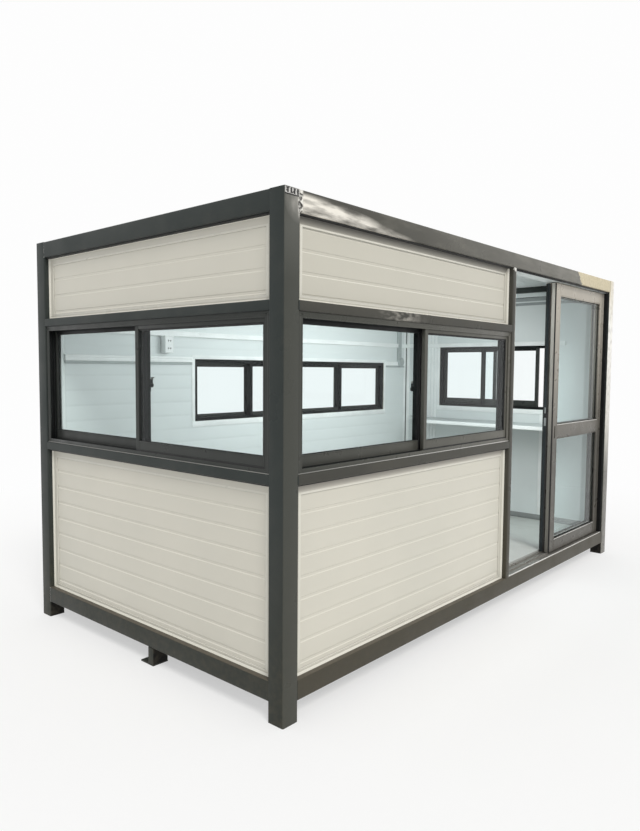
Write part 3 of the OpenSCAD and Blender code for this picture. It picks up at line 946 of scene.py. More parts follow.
def walls():
    for side, x1 in (("front", door_post[0].x), ("left", half_wide - tube)):
        x0, outside = -HALF_RUN[side] + tube, -DEPTH[side]
        for part, z0, z1 in (("upper", head_top, head_beam), ("lower", beam_top, sill_base)):
            ribbed_panel(f"{side}_{part}_panel", side, x0, x1, z0, z1, [f"panel_{side}_{part}"])
            bay_trim(f"{side}_{part}_flashing", side, x0, x1, z0, z1)
            # a black strip along the underside of the tube above each bay: painted shade under the tube
            underside_shade = bar((x0, outside + 0.014, z1 - 0.007), (x1, outside + panel_out - 0.001, z1), 0.0015)
            fit(f"{side}_{part}_sealant", [underside_shade], seal, "panel_skin", side)
    for side in ("back", "right"):
        lo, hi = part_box(f"panels_{side}_middle")
        w_lo, w_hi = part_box(f"window_{side}_frame")
        x0, x1 = (-hi.x, -lo.x) if side == "back" else (lo.y, hi.y)
        first, last = -HALF_RUN[side] + tube, HALF_RUN[side] - tube
        ends, between = [f"panels_{side}_ends"], [f"panels_{side}_middle"]
        ribbed_panel(f"{side}_left_panel", side, first, x0, beam_top, head_beam, ends)
        ribbed_panel(f"{side}_right_panel", side, x1, last, beam_top, head_beam, ends)
        ribbed_panel(f"{side}_lower_panel", side, x0, x1, beam_top, w_lo.z, between)
        ribbed_panel(f"{side}_upper_panel", side, x0, x1, w_hi.z, head_beam, between)
        bay_trim(f"{side}_flashing", side, first, last, beam_top, head_beam)
        face = -DEPTH[side] + panel_out
        strips = [
            bar((x - STRIP_HALF, face - 0.0016, low), (x + STRIP_HALF, face + 0.001, high), 0.0008)
            for x in (x0, x1)
            for low, high in ((beam_top + STRIP_STOP, w_lo.z), (w_hi.z, head_beam - STRIP_STOP))
        ]
        # the strips take the same lighter cream as the highlighted trim edges
        fit(f"{side}_joint_strips", strips, highlight_cream, "panel_skin", side)


def roof():
    """The roof sheet has low ribs from front to back, and the ceiling below has seams."""
    lo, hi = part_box("roof_panel")
    ribs, rib_high = 16, 0.012
    pitch = (hi.x - lo.x) / ribs
    foot_left, left, right, foot_right = (lo.x + pitch * share for share in (0.10, 0.22, 0.30, 0.42))
    strip = block("roof_sheet", lo, (lo.x + pitch, hi.y, hi.z))
    for at in (foot_left, left, right, foot_right):
        cut(strip, 0, at)
    push(strip, lambda f: f.normal.z > 0.9 and not left < middle(f).x < right, (0, 0, -rib_high))
    for crest in (left, right):
        edge = lambda e: along(1)(e) and near(middle(e).x, crest) and middle(e).z > hi.z - 0.02
        push(strip, edge, (0, 0, rib_high), by="edges")
    take_away(strip, lambda f: abs(f.normal.x) > 0.99)
    repeat(strip, ribs, (pitch, 0, 0))
    open_up(strip, edges=lambda e: e.is_boundary)
    bpy.ops.mesh.fill_holes(sides=0)
    bpy.ops.mesh.select_all(action="SELECT")
    bpy.ops.mesh.normals_make_consistent(inside=False)
    close_up()
    paint_faces(strip, lambda f: f.normal.z < -0.5, 1)
    done(strip, [cream, lining], "panel_skin", instead_of=["roof_panel"], smooth=12)
    seams = []
    for i in range(1, 4):
        x = lo.x + (hi.x - lo.x) * i / 4 - 0.3
        seams.append(bar((x - 0.010, lo.y, lo.z - 0.002), (x + 0.010, hi.y, lo.z + 0.001), 0.0007))
    fit("ceiling_seams", seams, lining, "panel_skin")
    paint(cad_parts["floor_deck"], sheet_floor)


walls()
roof()

# ---------------------------------------------------------------- windows

SASH_THICK, SASH_STILE, SASH_HIGH = 0.024, 0.030, 0.032
SASH_LOW, BACK_SASH_LOW = 0.055, 0.022
SASH_DEEPER = 0.020
FRAME_WIDE, FRAME_SLIP, FRAME_FOOT = 0.030, 0.012, 0.012
TRACK_HIGH = 0.025
TRACK_BASE, SASH_BASE = 0.010, 0.021
JAMB_GROOVE = FRAME_WIDE - FRAME_SLIP
PIECE_GAP = 0.0003  # between sections that would otherwise share a face
LIP_GAP = 0.0004
BAR_ROUND = 0.0008
THIN_SEAL, WIDE_SEAL, DEEP_SEAL = 0.0035, 0.009, 0.010
window_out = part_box("window_front_frame")[0].y + half_wide
window_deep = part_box("window_front_frame")[1].y + half_wide - window_out
track_wall = (window_deep / 2 - SASH_THICK) / 2

# How far along the outer sashes' ends an inner sash's stile still counts as behind them
BEHIND_REACH = 0.04
# How far the meeting stile stands from the window's left side, and how far the right window's sash is open
FRONT_MEET, LEFT_MEET, RIGHT_MEET, RIGHT_SLID = 1.068, 0.987, 0.588, 0.105
BACK_MEETS = 0.722, 1.317, 1.911
FRONT_LATCH_HIGH, LEFT_LATCH_HIGH, LEFT_LATCH_ASIDE = 1.545, 1.560, 0.004


def window_frame(side, x0, x1, z0, z1, node, metal):
    """The frame's outer sections, the shaded recess behind them and a bright strip along the sill's edge: a
    painted highlight.
    """
    face = -DEPTH[side] + window_out
    half, back = window_deep / 2, face + window_deep
    in0, in1 = x0 + JAMB_GROOVE, x1 - JAMB_GROOVE
    a, b = x0 + FRAME_WIDE, x1 - FRAME_WIDE
    outer, recess = [], []
    for y0, y1, part in ((face, face + track_wall, outer), (face + track_wall, back, recess)):
        part += [
            bar((x0, y0, z0), (in0 - PIECE_GAP, y1, z1), BAR_ROUND),
            bar((in1 + PIECE_GAP, y0, z0), (x1, y1, z1), BAR_ROUND),
            bar((in0, y0, z1 - JAMB_GROOVE + PIECE_GAP), (in1, y1, z1), BAR_ROUND),
            bar((in0, y0, z0), (in1, y1, z0 + FRAME_FOOT), BAR_ROUND),
        ]
    for y0, y1, part, line in (
        (face, face + track_wall - LIP_GAP, outer, (1, -1, 0.0035, 0.0014)),
        (face + half - track_wall + LIP_GAP, face + half + track_wall - LIP_GAP, recess, None),
        (back - track_wall + LIP_GAP, back, recess, None),
    ):
        low, high = z0 + TRACK_BASE, z1 - TRACK_BASE
        part += [
            bar((in0 - 0.002, y0, low), (a, y1, high), 0.0012, line),
            bar((b, y0, low), (in1 + 0.002, y1, high), 0.0012, line),
            bar((a, y0, z1 - FRAME_WIDE), (b, y1, z1 - JAMB_GROOVE + 0.002), 0.0012),
            bar((a, y0, low), (b, y1, z0 + TRACK_HIGH), 0.0012),
        ]
    # fine ridges along the outside of the head and the track
    for z in (z1 - 0.010, z1 - 0.020, z0 + 0.006):
        outer.append(bar((x0 + 0.002, face - 0.0012, z), (x1 - 0.002, face + 0.001, z + 0.0035), BAR_ROUND))
    for y in (face + half / 2, back - half / 2):
        outer.append(bar((in0, y - 0.002, z0 + TRACK_BASE), (in1, y + 0.002, z0 + 0.019), BAR_ROUND))
    fit(f"{side}_window_frame", outer, metal, "window_aluminium", side, instead_of=[node])
    fit(f"{side}_window_recess", recess, shaded_metal, "window_aluminium", side, instead_of=[node])
    # a bright strip along the sill's front edge: painted highlight
    edge = bar((x0 + 0.001, face - 0.0015, z0 + 0.0005), (x1 - 0.001, face + 0.003, z0 + 0.0055), 0.001)
    fit(f"{side}_window_sill_edge", [edge], bright_metal_and_highlight, "window_aluminium", side)


def window(side, x0, x1, z0, z1, sashes, metal, rail=SASH_LOW):
    """A sliding window: frame with two tracks, sashes with seals, facing the front before it is turned."""
    window_frame(side, x0, x1, z0, z1, f"window_{side}_frame", metal)
    face = -DEPTH[side] + window_out
    bars, shaded, seals, brushes = [], [], [], []
    outer = [(a - BEHIND_REACH, b + BEHIND_REACH) for a, b, inner in sashes if not inner]
    s0, s1 = z0 + SASH_BASE, z1 - JAMB_GROOVE
    track, head = z0 + TRACK_HIGH, z1 - FRAME_WIDE
    g0, g1 = track + rail, head + FRAME_SLIP - SASH_HIGH
    for a, b, inner in sashes:
        y0 = face + track_wall + (window_deep / 2 if inner else 0)
        y1 = y0 + SASH_THICK
        c, d = a + SASH_STILE, b - SASH_STILE
        bars.append(bar((c, y0 + 0.0005, s0), (d, y1 - 0.0005, g0), 0.0015, (1, -1, 0.006, 0.0012)))
        (shaded if inner else bars).append(bar((c, y0 + 0.0005, g1), (d, y1 - 0.0005, s1), 0.0015))
        for start in (a, d):
            end = start + SASH_STILE
            behind = inner and any(p < start < q for p, q in outer)
            upright = bar((start, y0, s0), (end, y1, s1), 0.0015, (1, -1, 0.0065, 0.0012))
            (shaded if behind else bars).append(upright)
            if behind:
                # a stile behind another sash is deeper on the room's side, and has brushes in front
                lo, hi = (start, y1 - 0.002, track), (end, y1 + SASH_DEEPER, head)
                shaded.append(bar(lo, hi, 0.0015, (1, 1, 0.007, 0.001)))
                for x in (start + 0.0015, start + 0.019):
                    brushes.append(bar((x, y0 - 0.0022, s0 + 0.004), (x + 0.0095, y0 + 0.001, s1 - 0.004), 0))
        # a black strip along the outer sash's foot: painted shadow of the gap under the sash
        if not inner:
            lo, hi = (a + 0.002, y0 - 0.0008, track - 0.004), (b - 0.002, y0 + 0.001, track + 0.007)
            seals.append(bar(lo, hi, 0))
        side_seal, head_seal = (THIN_SEAL, THIN_SEAL) if inner else (WIDE_SEAL, DEEP_SEAL)
        pane = (y0 + y1) / 2
        for sign in (-1, 1):
            n, f = sorted((pane + sign * 0.0025, pane + sign * 0.0065))
            seals += [
                bar((c, n, g0), (c + THIN_SEAL, f, g1), BAR_ROUND),
                bar((d - side_seal, n, g0), (d, f, g1), BAR_ROUND),
                bar((c, n, g0), (d, f, g0 + THIN_SEAL), BAR_ROUND),
                bar((c, n, g1 - head_seal), (d, f, g1), BAR_ROUND),
            ]
    fit(f"{side}_window_sashes", bars, metal, "window_aluminium", side, instead_of=[f"window_{side}_sashes"])
    fit(f"{side}_window_inner_stiles", shaded, shaded_metal, "window_aluminium", side)
    fit(f"{side}_window_seals", seals, seal, "window_aluminium", side)
    fit(f"{side}_window_brushes", brushes, seal, "window_aluminium", side)


def latch(side, x, z):
    """A crescent latch on the room's side of the meeting stile: a plate, a drum and a curved lever."""
    y = -DEPTH[side] + window_out + window_deep - track_wall + SASH_DEEPER
    plate = bar((x - 0.009, y, z - 0.035), (x + 0.009, y + 0.004, z + 0.035), 0.0015)
    let_go()
    bpy.ops.mesh.primitive_cylinder_add(
        vertices=20, radius=0.013, depth=0.016, location=(x, y + 0.012, z), rotation=(math.pi / 2, 0, 0)
    )
    drum = settle(bpy.context.object)
    round_off(drum, 0.002, lambda e: not along(1)(e))
    lever = bar((x - 0.005, y + 0.012, z), (x + 0.005, y + 0.020, z + 0.034), 0.002)
    tip = bar((x - 0.0055, y + 0.0115, z + 0.033), (x + 0.0055, y + 0.0205, z + 0.046), 0.002)
    lean = (0.008, 0.004, 0)
    push(lever, facing(2, 1), lean)
    push(tip, facing(2, 1), lean)
    push(tip, facing(2, -1), lean)
    fit(f"{side}_window_latch", [plate, drum, lever], seal, "window_aluminium", side)
    fit(f"{side}_window_latch_tip", [tip], bright_metal_and_highlight, "window_aluminium", side)


def sash_pair(x0, x1, meet, slid=0):
    """The left sash runs on the inner track and the right one on the outer, lapping by a stile."""
    return [
        (x0 + JAMB_GROOVE + slid, x0 + meet + SASH_STILE + slid, True),
        (x0 + meet, x1 - JAMB_GROOVE, False),
    ]


def windows():
    lo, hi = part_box("window_front_frame")
    window("front", lo.x, hi.x, lo.z, hi.z, sash_pair(lo.x, hi.x, FRONT_MEET), front_window_metal_lit)
    latch("front", lo.x + FRONT_MEET + SASH_STILE / 2, FRONT_LATCH_HIGH)
    lo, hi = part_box("window_left_frame")
    window("left", lo.y, hi.y, lo.z, hi.z, sash_pair(lo.y, hi.y, LEFT_MEET), window_metal)
    latch("left", lo.y + LEFT_MEET + SASH_STILE / 2 + LEFT_LATCH_ASIDE, LEFT_LATCH_HIGH)
    lo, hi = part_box("window_back_frame")
    x0, x1 = -hi.x, -lo.x
    first, centre, last = (x0 + meet for meet in BACK_MEETS)
    lap = SASH_STILE / 2
    sashes = [
        (x0 + JAMB_GROOVE, first + lap, False),
        (first - lap, centre - 0.0005, True),
        (centre + 0.0005, last + lap, True),
        (last - lap, x1 - JAMB_GROOVE, False),
    ]
    window("back", x0, x1, lo.z, hi.z, sashes, window_metal, BACK_SASH_LOW)
    lo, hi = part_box("window_right_frame")
    window("right", lo.y, hi.y, lo.z, hi.z, sash_pair(lo.y, hi.y, RIGHT_MEET, RIGHT_SLID), window_metal)
    for node in ("window_glass", "outer_leaf_glass", "inner_leaf_glass"):
        paint(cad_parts[node], glass)


windows()

# ---------------------------------------------------------------- door

MID_RAIL, MID_RAIL_HIGH = 0.912, 0.106
PULL_WIDE, PULL_HIGH, PULL_DEEP = 0.020, 0.100, 0.009
JAMB = 0.015
GLAZING_BEAD, GLAZING_SEAL = 0.006, 0.0085
BESIDE = 0.0009  # how far edge covers stand from a leaf's stile


def leaf(name, pull):
    """A door leaf of two stiles and three rails, with glazing beads, seals and ledges. Gives its corners."""
    node = f"{name}_frame"
    lo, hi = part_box(node)
    g_lo, g_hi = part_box(f"{name}_glass")
    stile = g_lo.x - lo.x
    a, b = lo.x + stile, hi.x - stile
    mid_low = lo.z + MID_RAIL
    mid_high = mid_low + MID_RAIL_HIGH
    line = (1, -1, 0.010, 0.0012)
    left_stile = bar(lo, (a, hi.y, hi.z), 0.002, line, 3)
    if pull:
        centre, pull_top = lo.x + stile / 2, mid_low + PULL_HIGH
        c0, c1 = centre - PULL_WIDE / 2, centre + PULL_WIDE / 2
        for axis, at in ((2, mid_low), (2, pull_top), (0, c0), (0, c1)):
            cut(left_stile, axis, at)
        spot = lambda f: f.normal.y < -0.9 and c0 < middle(f).x < c1 and mid_low < middle(f).z < pull_top
        open_up(left_stile, faces=spot)
        bpy.ops.mesh.extrude_region_move(TRANSFORM_OT_translate={"value": (0, PULL_DEEP, 0)})
        close_up()
    parts = [left_stile, bar((b, lo.y, lo.z), hi, 0.002, line, 3)]
    for z0, z1 in ((lo.z, g_lo.z), (mid_low, mid_high), (g_hi.z, hi.z)):
        parts.append(bar((a, lo.y + 0.0006, z0), (b, hi.y - 0.0006, z1), 0.002, line, 3))
    seals, ledges = [], []
    for z0, z1 in ((g_lo.z, mid_low), (mid_high, g_hi.z)):
        for y0, y1 in ((lo.y + 0.002, g_lo.y - 0.001), (g_hi.y + 0.001, hi.y - 0.002)):
            parts += ring(a, b, y0, y1, z0, z1, GLAZING_BEAD, 0.001)
        # bright ledges along the rails' upper edges under the glass: painted highlight
        ledge = (a + 0.001, lo.y + 0.001, z0 - 0.001), (b - 0.001, lo.y + 0.011, z0 + 0.0035)
        ledges.append(bar(*ledge, 0.001))
        for y0, y1 in ((g_lo.y - 0.0042, g_lo.y - 0.0012), (g_hi.y + 0.0012, g_hi.y + 0.0042)):
            seals += ring(a, b, y0, y1, z0, z1, GLAZING_SEAL)
    fit(f"{name}_sections", parts, door_metal, "window_aluminium", body=name, instead_of=[node])
    fit(f"{name}_glazing_seals", seals, seal, "window_aluminium", body=name)
    fit(f"{name}_bright_ledges", ledges, bright_metal_and_highlight, "window_aluminium", body=name)
    return lo, hi


def outer_leaf():
    lo, hi = leaf("outer_leaf", True)
    x, low, high = lo.x, lo.z, hi.z
    brush = bar((x - 0.0005, lo.y + 0.0015, low + 0.004), (x + 0.001, lo.y + 0.0125, high - 0.004), 0)
    fit("outer_leaf_edge_brush", [brush], seal, "window_aluminium", body="outer_leaf")
    # the outer leaf's end takes the lighter edge metal: painted light on the face that looks left
    cover = bar((x - BESIDE, lo.y + 0.0135, low + 0.002), (x + 0.001, hi.y - 0.0005, high - 0.002), 0.0006)
    fit("outer_leaf_edge_cover", [cover], lit_edge_metal, "window_aluminium", body="outer_leaf")


def inner_leaf():
    lo, hi = leaf("inner_leaf", False)
    x, centre = lo.x, (lo.y + hi.y) / 2
    strips = [
        bar((x - 0.0008, y0, lo.z + 0.004), (x + 0.001, y1, hi.z - 0.004), 0)
        for y0, y1 in ((lo.y + 0.0005, lo.y + 0.0125), (hi.y - 0.0085, hi.y - 0.0005))
    ]
    fit("inner_leaf_edge_seals", strips, seal, "window_aluminium", body="inner_leaf")
    cover = bar((x - BESIDE, lo.y + 0.013, lo.z + 0.002), (x + 0.001, hi.y - 0.009, hi.z - 0.002), 0.0006)
    fit("inner_leaf_edge_cover", [cover], lock_metal, "window_aluminium", body="inner_leaf")
    z, proud, soft = lo.z + MID_RAIL + PULL_HIGH, x - 0.0024, 0.0006
    plates = [
        bar((proud, centre - 0.009, z), (x, centre + 0.007, z + 0.064), soft, (0, -1, 0.003, 0.0004)),
        bar((proud, centre - 0.005, z + 0.100), (x, centre + 0.005, z + 0.146), soft, (0, -1, 0.002, 0.0004)),
    ]
    hook = bar((x - 0.0018, centre - 0.006, z + 0.066), (x + 0.001, centre + 0.006, z + 0.098), 0.0005)
    fit("inner_leaf_lock_plates", plates, plate_metal, "window_aluminium", body="inner_leaf")
    fit("inner_leaf_lock_hook", [hook], seal, "window_aluminium", body="inner_leaf")


def door_surround():
    """Jambs, the head with its pale soffit, and the threshold with a rail under each leaf."""
    lo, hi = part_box("door_jambs")
    jambs = [
        bar((x, lo.y, lo.z), (x + JAMB, hi.y, hi.z), 0.0015, (0, inward, 0.012, 0.0015), 3)
        for x, inward in ((lo.x, 1), (hi.x - JAMB, -1))
    ]
    fit("door_jamb_sections", jambs, shaded_metal, "window_aluminium", instead_of=["door_jambs"])
    lo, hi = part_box("door_head_track")
    left, right = lo.x + JAMB, hi.x - JAMB
    head = [
        bar(lo, hi, 0.001),
        bar((left, lo.y, lo.z - 0.006), (right, lo.y + 0.003, lo.z + 0.002), 0.0008),
    ]
    soffit = bar((left, lo.y + 0.008, lo.z - 0.0012), (right, hi.y, lo.z + 0.001), 0.0005)
    fit("door_head_soffit", [soffit], lining, "window_aluminium")
    fit("door_head_section", head, shaded_metal, "window_aluminium", instead_of=["door_head_track"])
    lo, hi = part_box("door_threshold")
    left, right = lo.x + JAMB, hi.x - JAMB
    plate_top = lo.z + 0.004
    parts = [bar(lo, (hi.x, hi.y, plate_top), 0.001, (2, 1, 0.004, 0.0006))]
    for node in ("outer_leaf_frame", "inner_leaf_frame"):
        leaf_lo, leaf_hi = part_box(node)
        y = (leaf_lo.y + leaf_hi.y) / 2
        parts.append(bar((left, y - 0.0025, plate_top - 0.001), (right, y + 0.0025, hi.z), 0.001))
    # a bright strip along the threshold's front edge: painted highlight
    lo, hi = (left, -half_wide + 0.0075, beam_top - 0.001), (right, lo.y + 0.002, plate_top + 0.0015)
    fit("door_threshold_edge", [bar(lo, hi, 0.001)], bright_metal_and_highlight, "window_aluminium")
    fit("door_threshold_section", parts, track_metal, "window_aluminium", instead_of=["door_threshold"])


outer_leaf()
inner_leaf()
door_surround()

# ---------------------------------------------------------------- inside

in_x, in_y = half_long - panel_in, half_wide - panel_in
SKIRTING_HIGH, SKIRTING_THICK = 0.050, 0.010
BANDS_HIGH = 0.075
ANGLE = 0.045
BAND_FOOT, BAND_LOW, BAND_HIGH = 1.684, 1.703, 1.745
LINING, LINING_SILL = 0.030, 0.045
TRUNKING = 1.898, 1.938
TRUNKING_STOP = 0.30
JUNCTION_ASIDE, JUNCTION_HIGH = 0.135, 1.743
SOCKET_BOX_AT, SOCKET_BOX = 0.905, (1.770, 1.900)
# Covers over the right wall's joints, from the wall's front: one under the window and a ribbed one beyond it
UNDER_COVER = 0.545, 0.622
BEYOND_COVERS = (1.775, 1.806), (1.814, 1.846), (1.854, 1.886)


def counter():
    lo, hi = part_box("counter")
    board = block("counter_board", lo, hi)
    corner = lambda e: along(2)(e) and middle(e).x < lo.x + 0.01 and middle(e).y > hi.y - 0.01
    round_off(board, hi.x - lo.x - 0.010, corner, 1)
    round_off(board, 0.002, lambda e: abs(middle(e).z - (lo.z + hi.z) / 2) > 0.01, 3)
    paint_faces(board, lambda f: abs(f.normal.z) < 0.5, 1)
    done(board, [counter_top_shaded, edge_band], "counter", instead_of=["counter"])


def room_trim():
    """Skirting, the angle and bands under the ceiling, and the angles up the room's back corners."""
    z0, z1, thick = floor_top, floor_top + SKIRTING_HIGH, SKIRTING_THICK
    door_left = door_post[0].x
    boards = [
        bar((-in_x, in_y - thick, z0), (in_x, in_y, z1), 0.002),
        bar((-in_x, -in_y, z0), (-in_x + thick, in_y - thick, z1), 0.002),
        bar((in_x - thick, -in_y + 0.02, z0), (in_x, in_y - thick, z1), 0.002),
        bar((-in_x + thick, -in_y, z0), (door_left, -in_y + thick, z1), 0.002),
    ]
    fit("skirting", boards, skirting_grey, "floor")
    # the white angle runs above the doorway too, and the bands below it stop there
    for name, finish, low, high, deep, margin, end in (
        ("ceiling_angle", lining, 0.002, 0.047, 0.006, 0.010, in_x - 0.016),
        ("ceiling_band_upper", band_grey, -0.036, -0.001, 0.004, 0, door_left),
        ("ceiling_band_line", lining, -0.048, -0.036, 0.006, 0, door_left),
        ("ceiling_band_lower", band_grey, -BANDS_HIGH, -0.048, 0.004, 0, door_left),
    ):
        a, b, x, y = head_beam + low, head_beam + high, in_x - margin, in_y - margin
        parts = [
            bar((-x, y - deep, a), (x, y, b), 0.001),
            bar((x - deep, -y, a), (x, y - deep, b), 0.001),
            bar((-x, -y, a), (-x + deep, y - deep, b), 0.001),
            bar((-x + deep, -y, a), (end, -y + deep, b), 0.001),
        ]
        fit(name, parts, finish, "panel_skin")
    parts = []
    top_end = head_beam - BANDS_HIGH
    for sign in (-1, 1):
        x0, x1 = sorted((sign * in_x, sign * (in_x - ANGLE)))
        parts.append(bar((x0, in_y - 0.003, z1), (x1, in_y, top_end), 0.0008))
        x0, x1 = sorted((sign * in_x, sign * (in_x - 0.003)))
        parts.append(bar((x0, in_y - ANGLE, z1), (x1, in_y - 0.003, top_end), 0.0008))
    fit("corner_angles", parts, white_plastic, "panel_skin")


def wall_band():
    """A moulded band with a grey foot, to both sides of the back window at the height of its head."""
    lo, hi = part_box("window_back_frame")
    runs = (-in_x + ANGLE, lo.x - LINING), (hi.x + LINING, in_x - ANGLE)
    line = (1, -1, 0.014, 0.003)
    band = [bar((x0, in_y - 0.016, BAND_LOW), (x1, in_y, BAND_HIGH), 0.004, line, 3) for x0, x1 in runs]
    fit("wall_band", band, white_plastic, "panel_skin")
    foot = [bar((x0, in_y - 0.008, BAND_FOOT), (x1, in_y, BAND_LOW), 0.001) for x0, x1 in runs]
    fit("wall_band_foot", foot, drop_grey, "panel_skin")


def window_linings():
    """Linings round the inside of the back and right windows."""
    for side in ("back", "right"):
        lo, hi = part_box(f"window_{side}_frame")
        x0, x1 = (-hi.x, -lo.x) if side == "back" else (lo.y, hi.y)
        wall = -DEPTH[side] + panel_in
        y0, y1 = wall - 0.001, wall + 0.003
        parts = [
            bar((x0 - LINING, y0, lo.z - LINING_SILL), (x1 + LINING, y1, lo.z), 0.001),
            bar((x0 - LINING, y0, hi.z), (x1 + LINING, y1, hi.z + LINING), 0.001),
            bar((x0 - LINING, y0, lo.z), (x0, y1, hi.z), 0.001),
            bar((x1, y0, lo.z), (x1 + LINING, y1, hi.z), 0.001),
        ]
        fit(f"{side}_window_lining", parts, white_plastic, "panel_skin", side)


def wiring():
    """Cable trunking along the back and right walls, with a drop to a round junction box."""
    z0, z1 = TRUNKING
    line = 0.008, 0.001
    parts = [
        bar((-in_x + ANGLE, in_y - 0.020, z0), (in_x - 0.020, in_y, z1), 0.002, (1, -1, *line), 3),
        bar((in_x - 0.020, -in_y + TRUNKING_STOP, z0), (in_x, in_y, z1), 0.002, (0, -1, *line), 3),
    ]
    fit("cable_trunking", parts, white_plastic, "panel_skin")
    lo, hi = (in_x - 0.180, in_y - 0.022, 1.765), (in_x - 0.120, in_y, head_beam - BANDS_HIGH - 0.001)
    fit("trunking_drop", [bar(lo, hi, 0.002, (1, -1, 0.010, 0.001), 3)], drop_grey, "panel_skin")
    let_go()
    bpy.ops.mesh.primitive_cylinder_add(
        vertices=28, radius=0.046, depth=0.034, rotation=(math.pi / 2, 0, 0),
        location=(in_x - JUNCTION_ASIDE, in_y - 0.017, JUNCTION_HIGH),
    )
    junction = settle(bpy.context.object)
    open_up(junction, faces=facing(1, -1))
    for margin, move in ((0.006, -0.006), (0.016, 0.003)):
        bpy.ops.mesh.inset(thickness=margin)
        bpy.ops.transform.translate(value=(0, move, 0))
    close_up()
    fit("junction_box", [junction], drop_grey, "panel_skin")


def joint_covers():
    """Covers over the right wall's inner joints, above and below the counter."""
    lo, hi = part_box("counter")
    under_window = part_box("window_right_frame")[0].z - LINING_SILL - 0.002
    below_bands = head_beam - BANDS_HIGH - 0.001
    covers = []
    for (y0, y1), end in ((UNDER_COVER, under_window), *((cover, below_bands) for cover in BEYOND_COVERS)):
        for low, high in ((floor_top + SKIRTING_HIGH, lo.z), (hi.z, end)):
            covers.append(bar((in_x - 0.004, y0 - half_wide, low), (in_x, y1 - half_wide, high), 0.001))
    fit("right_joint_covers", covers, white_plastic, "panel_skin")


def socket_box():
    """A surface box on the back wall with two pairs of slots."""
    x, (low, high) = -half_long + SOCKET_BOX_AT, SOCKET_BOX
    box = bar((x, in_y - 0.058, low), (x + 0.080, in_y, high), 0.005, (1, -1, 0.006, 0.0015), 3)
    fit("socket_box", [box], white_plastic, "panel_skin")
    slots = [
        bar((x + at - 0.003, in_y - 0.0582, z - 0.006), (x + at + 0.003, in_y - 0.054, z + 0.006), 0)
        for z in (low + 0.035, high - 0.038)
        for at in (0.030, 0.050)
    ]
    fit("socket_slots", slots, seal, "panel_skin")


counter()
room_trim()
wall_band()
window_linings()
wiring()
joint_covers()
socket_box()

# ---------------------------------------------------------------- stage, lamps and camera

BACKDROP = (0.985, 0.985, 0.985)


def seen_rays(tree):
    """1 for what the eye sees straight on, through glass or mirrored."""
    rays = tree.nodes.new("ShaderNodeLightPath").outputs
    seen = sums(tree, "MAXIMUM", rays["Is Camera Ray"], rays["Is Transmission Ray"])
    return sums(tree, "MAXIMUM", seen, rays["Is Glossy Ray"])


def stage():
    """A pale floor that fades into the backdrop far from the cabin and keeps its shadow near it."""
    let_go()
    bpy.ops.mesh.primitive_plane_add(size=90, location=(0, 0, -0.0005))
    ground = settle(bpy.context.object)
    ground.name = "stage_floor"
    finish, tree, shader, where = start_finish("stage_floor", (0.92, 0.92, 0.915), 0.9)
    shader.inputs["Specular IOR Level"].default_value = 0.1
    reach = tree.nodes.new("ShaderNodeVectorMath")
    reach.operation = "LENGTH"
    tree.links.new(where, reach.inputs[0])
    far = spread(tree, reach.outputs["Value"], 2.0, 6.0, 0.50, 1.0)
    shown = tree.nodes.new("ShaderNodeEmission")
    shown.inputs["Color"].default_value = (*BACKDROP, 1)
    mix = tree.nodes.new("ShaderNodeMixShader")
    tree.links.new(times(tree, far, seen_rays(tree)), mix.inputs["Fac"])
    tree.links.new(shader.outputs["BSDF"], mix.inputs[1])
    tree.links.new(shown.outputs["Emission"], mix.inputs[2])
    tree.links.new(mix.outputs["Shader"], tree.nodes["Material Output"].inputs["Surface"])
    paint(ground, finish)


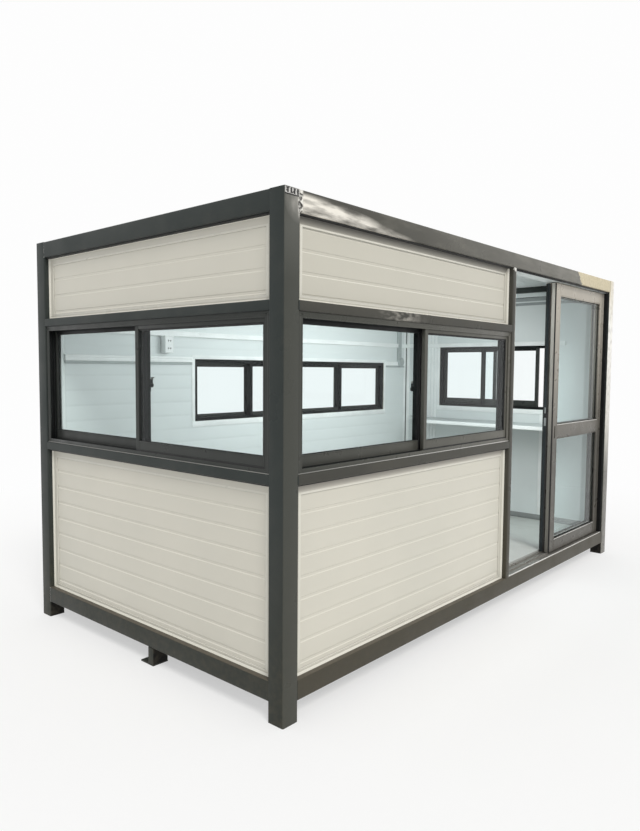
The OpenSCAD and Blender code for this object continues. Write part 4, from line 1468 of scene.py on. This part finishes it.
def sky():
    """Soft light from all round, seen as the plain backdrop."""
    world = bpy.data.worlds.new("sky")
    bpy.context.scene.world = world
    world.use_nodes = True
    tree = world.node_tree
    lit = tree.nodes["Background"]
    lit.inputs["Color"].default_value = (0.98, 0.99, 1.0, 1)
    lit.inputs["Strength"].default_value = 0.62
    shown = tree.nodes.new("ShaderNodeBackground")
    shown.inputs["Color"].default_value = (*BACKDROP, 1)
    shown.inputs["Strength"].default_value = 1.0
    mix = tree.nodes.new("ShaderNodeMixShader")
    tree.links.new(seen_rays(tree), mix.inputs["Fac"])
    tree.links.new(lit.outputs["Background"], mix.inputs[1])
    tree.links.new(shown.outputs["Background"], mix.inputs[2])
    tree.links.new(mix.outputs["Shader"], tree.nodes["World Output"].inputs["Surface"])


def lamp(name, kind, place, aim, power, colour, size=None, soft=None):
    """A sun with a softness in degrees, or a rectangle of light with a size."""
    data = bpy.data.lights.new(name, kind)
    if size:
        data.shape = "RECTANGLE"
        data.size, data.size_y = size
    if soft:
        data.angle = math.radians(soft)
    data.energy = power
    data.color = colour
    made = bpy.data.objects.new(name, data)
    bpy.context.scene.collection.objects.link(made)
    made.location = place
    made.rotation_euler = (Vector(aim) - Vector(place)).to_track_quat("-Z", "Y").to_euler()
    made.visible_camera = made.visible_transmission = made.visible_glossy = False


def camera():
    """Stands at eye height off the front left corner and looks slightly down."""
    place = Vector((-4.31884, -3.27112, 1.65556))
    turn, tilt, roll = math.radians(41.242), math.radians(-3.823), math.radians(0.427)
    ahead = Vector((math.cos(turn) * math.cos(tilt), math.sin(turn) * math.cos(tilt), math.sin(tilt)))
    right = Vector((math.sin(turn), -math.cos(turn), 0))
    up = right.cross(ahead)
    right, up = (
        math.cos(roll) * right + math.sin(roll) * up,
        math.cos(roll) * up - math.sin(roll) * right,
    )
    data = bpy.data.cameras.new("camera")
    data.lens = 29.83
    data.sensor_width = 36
    data.clip_end = 200
    made = bpy.data.objects.new("camera", data)
    bpy.context.scene.collection.objects.link(made)
    made.matrix_world = Matrix.Translation(place) @ Matrix((right, up, -ahead)).transposed().to_4x4()
    bpy.context.scene.camera = made


stage()
sky()
lamp("high_lamp", "SUN", (-3.7, -7.3, 8.6), (0, 0, 0), 1.65, (1, 0.985, 0.95), soft=20)
lamp("room_lamp", "AREA", (0.2, -0.85, 2.05), (0.2, 1.04, 1.1), 26, (0.97, 0.99, 1), size=(1.9, 0.5))
lamp("ceiling_lamp", "AREA", (-0.2, 0.1, 2.28), (-0.2, 0.1, 0), 8, (0.95, 0.99, 1), size=(2.4, 1.2))
camera()

bpy.context.scene.view_settings.view_transform = "Standard"
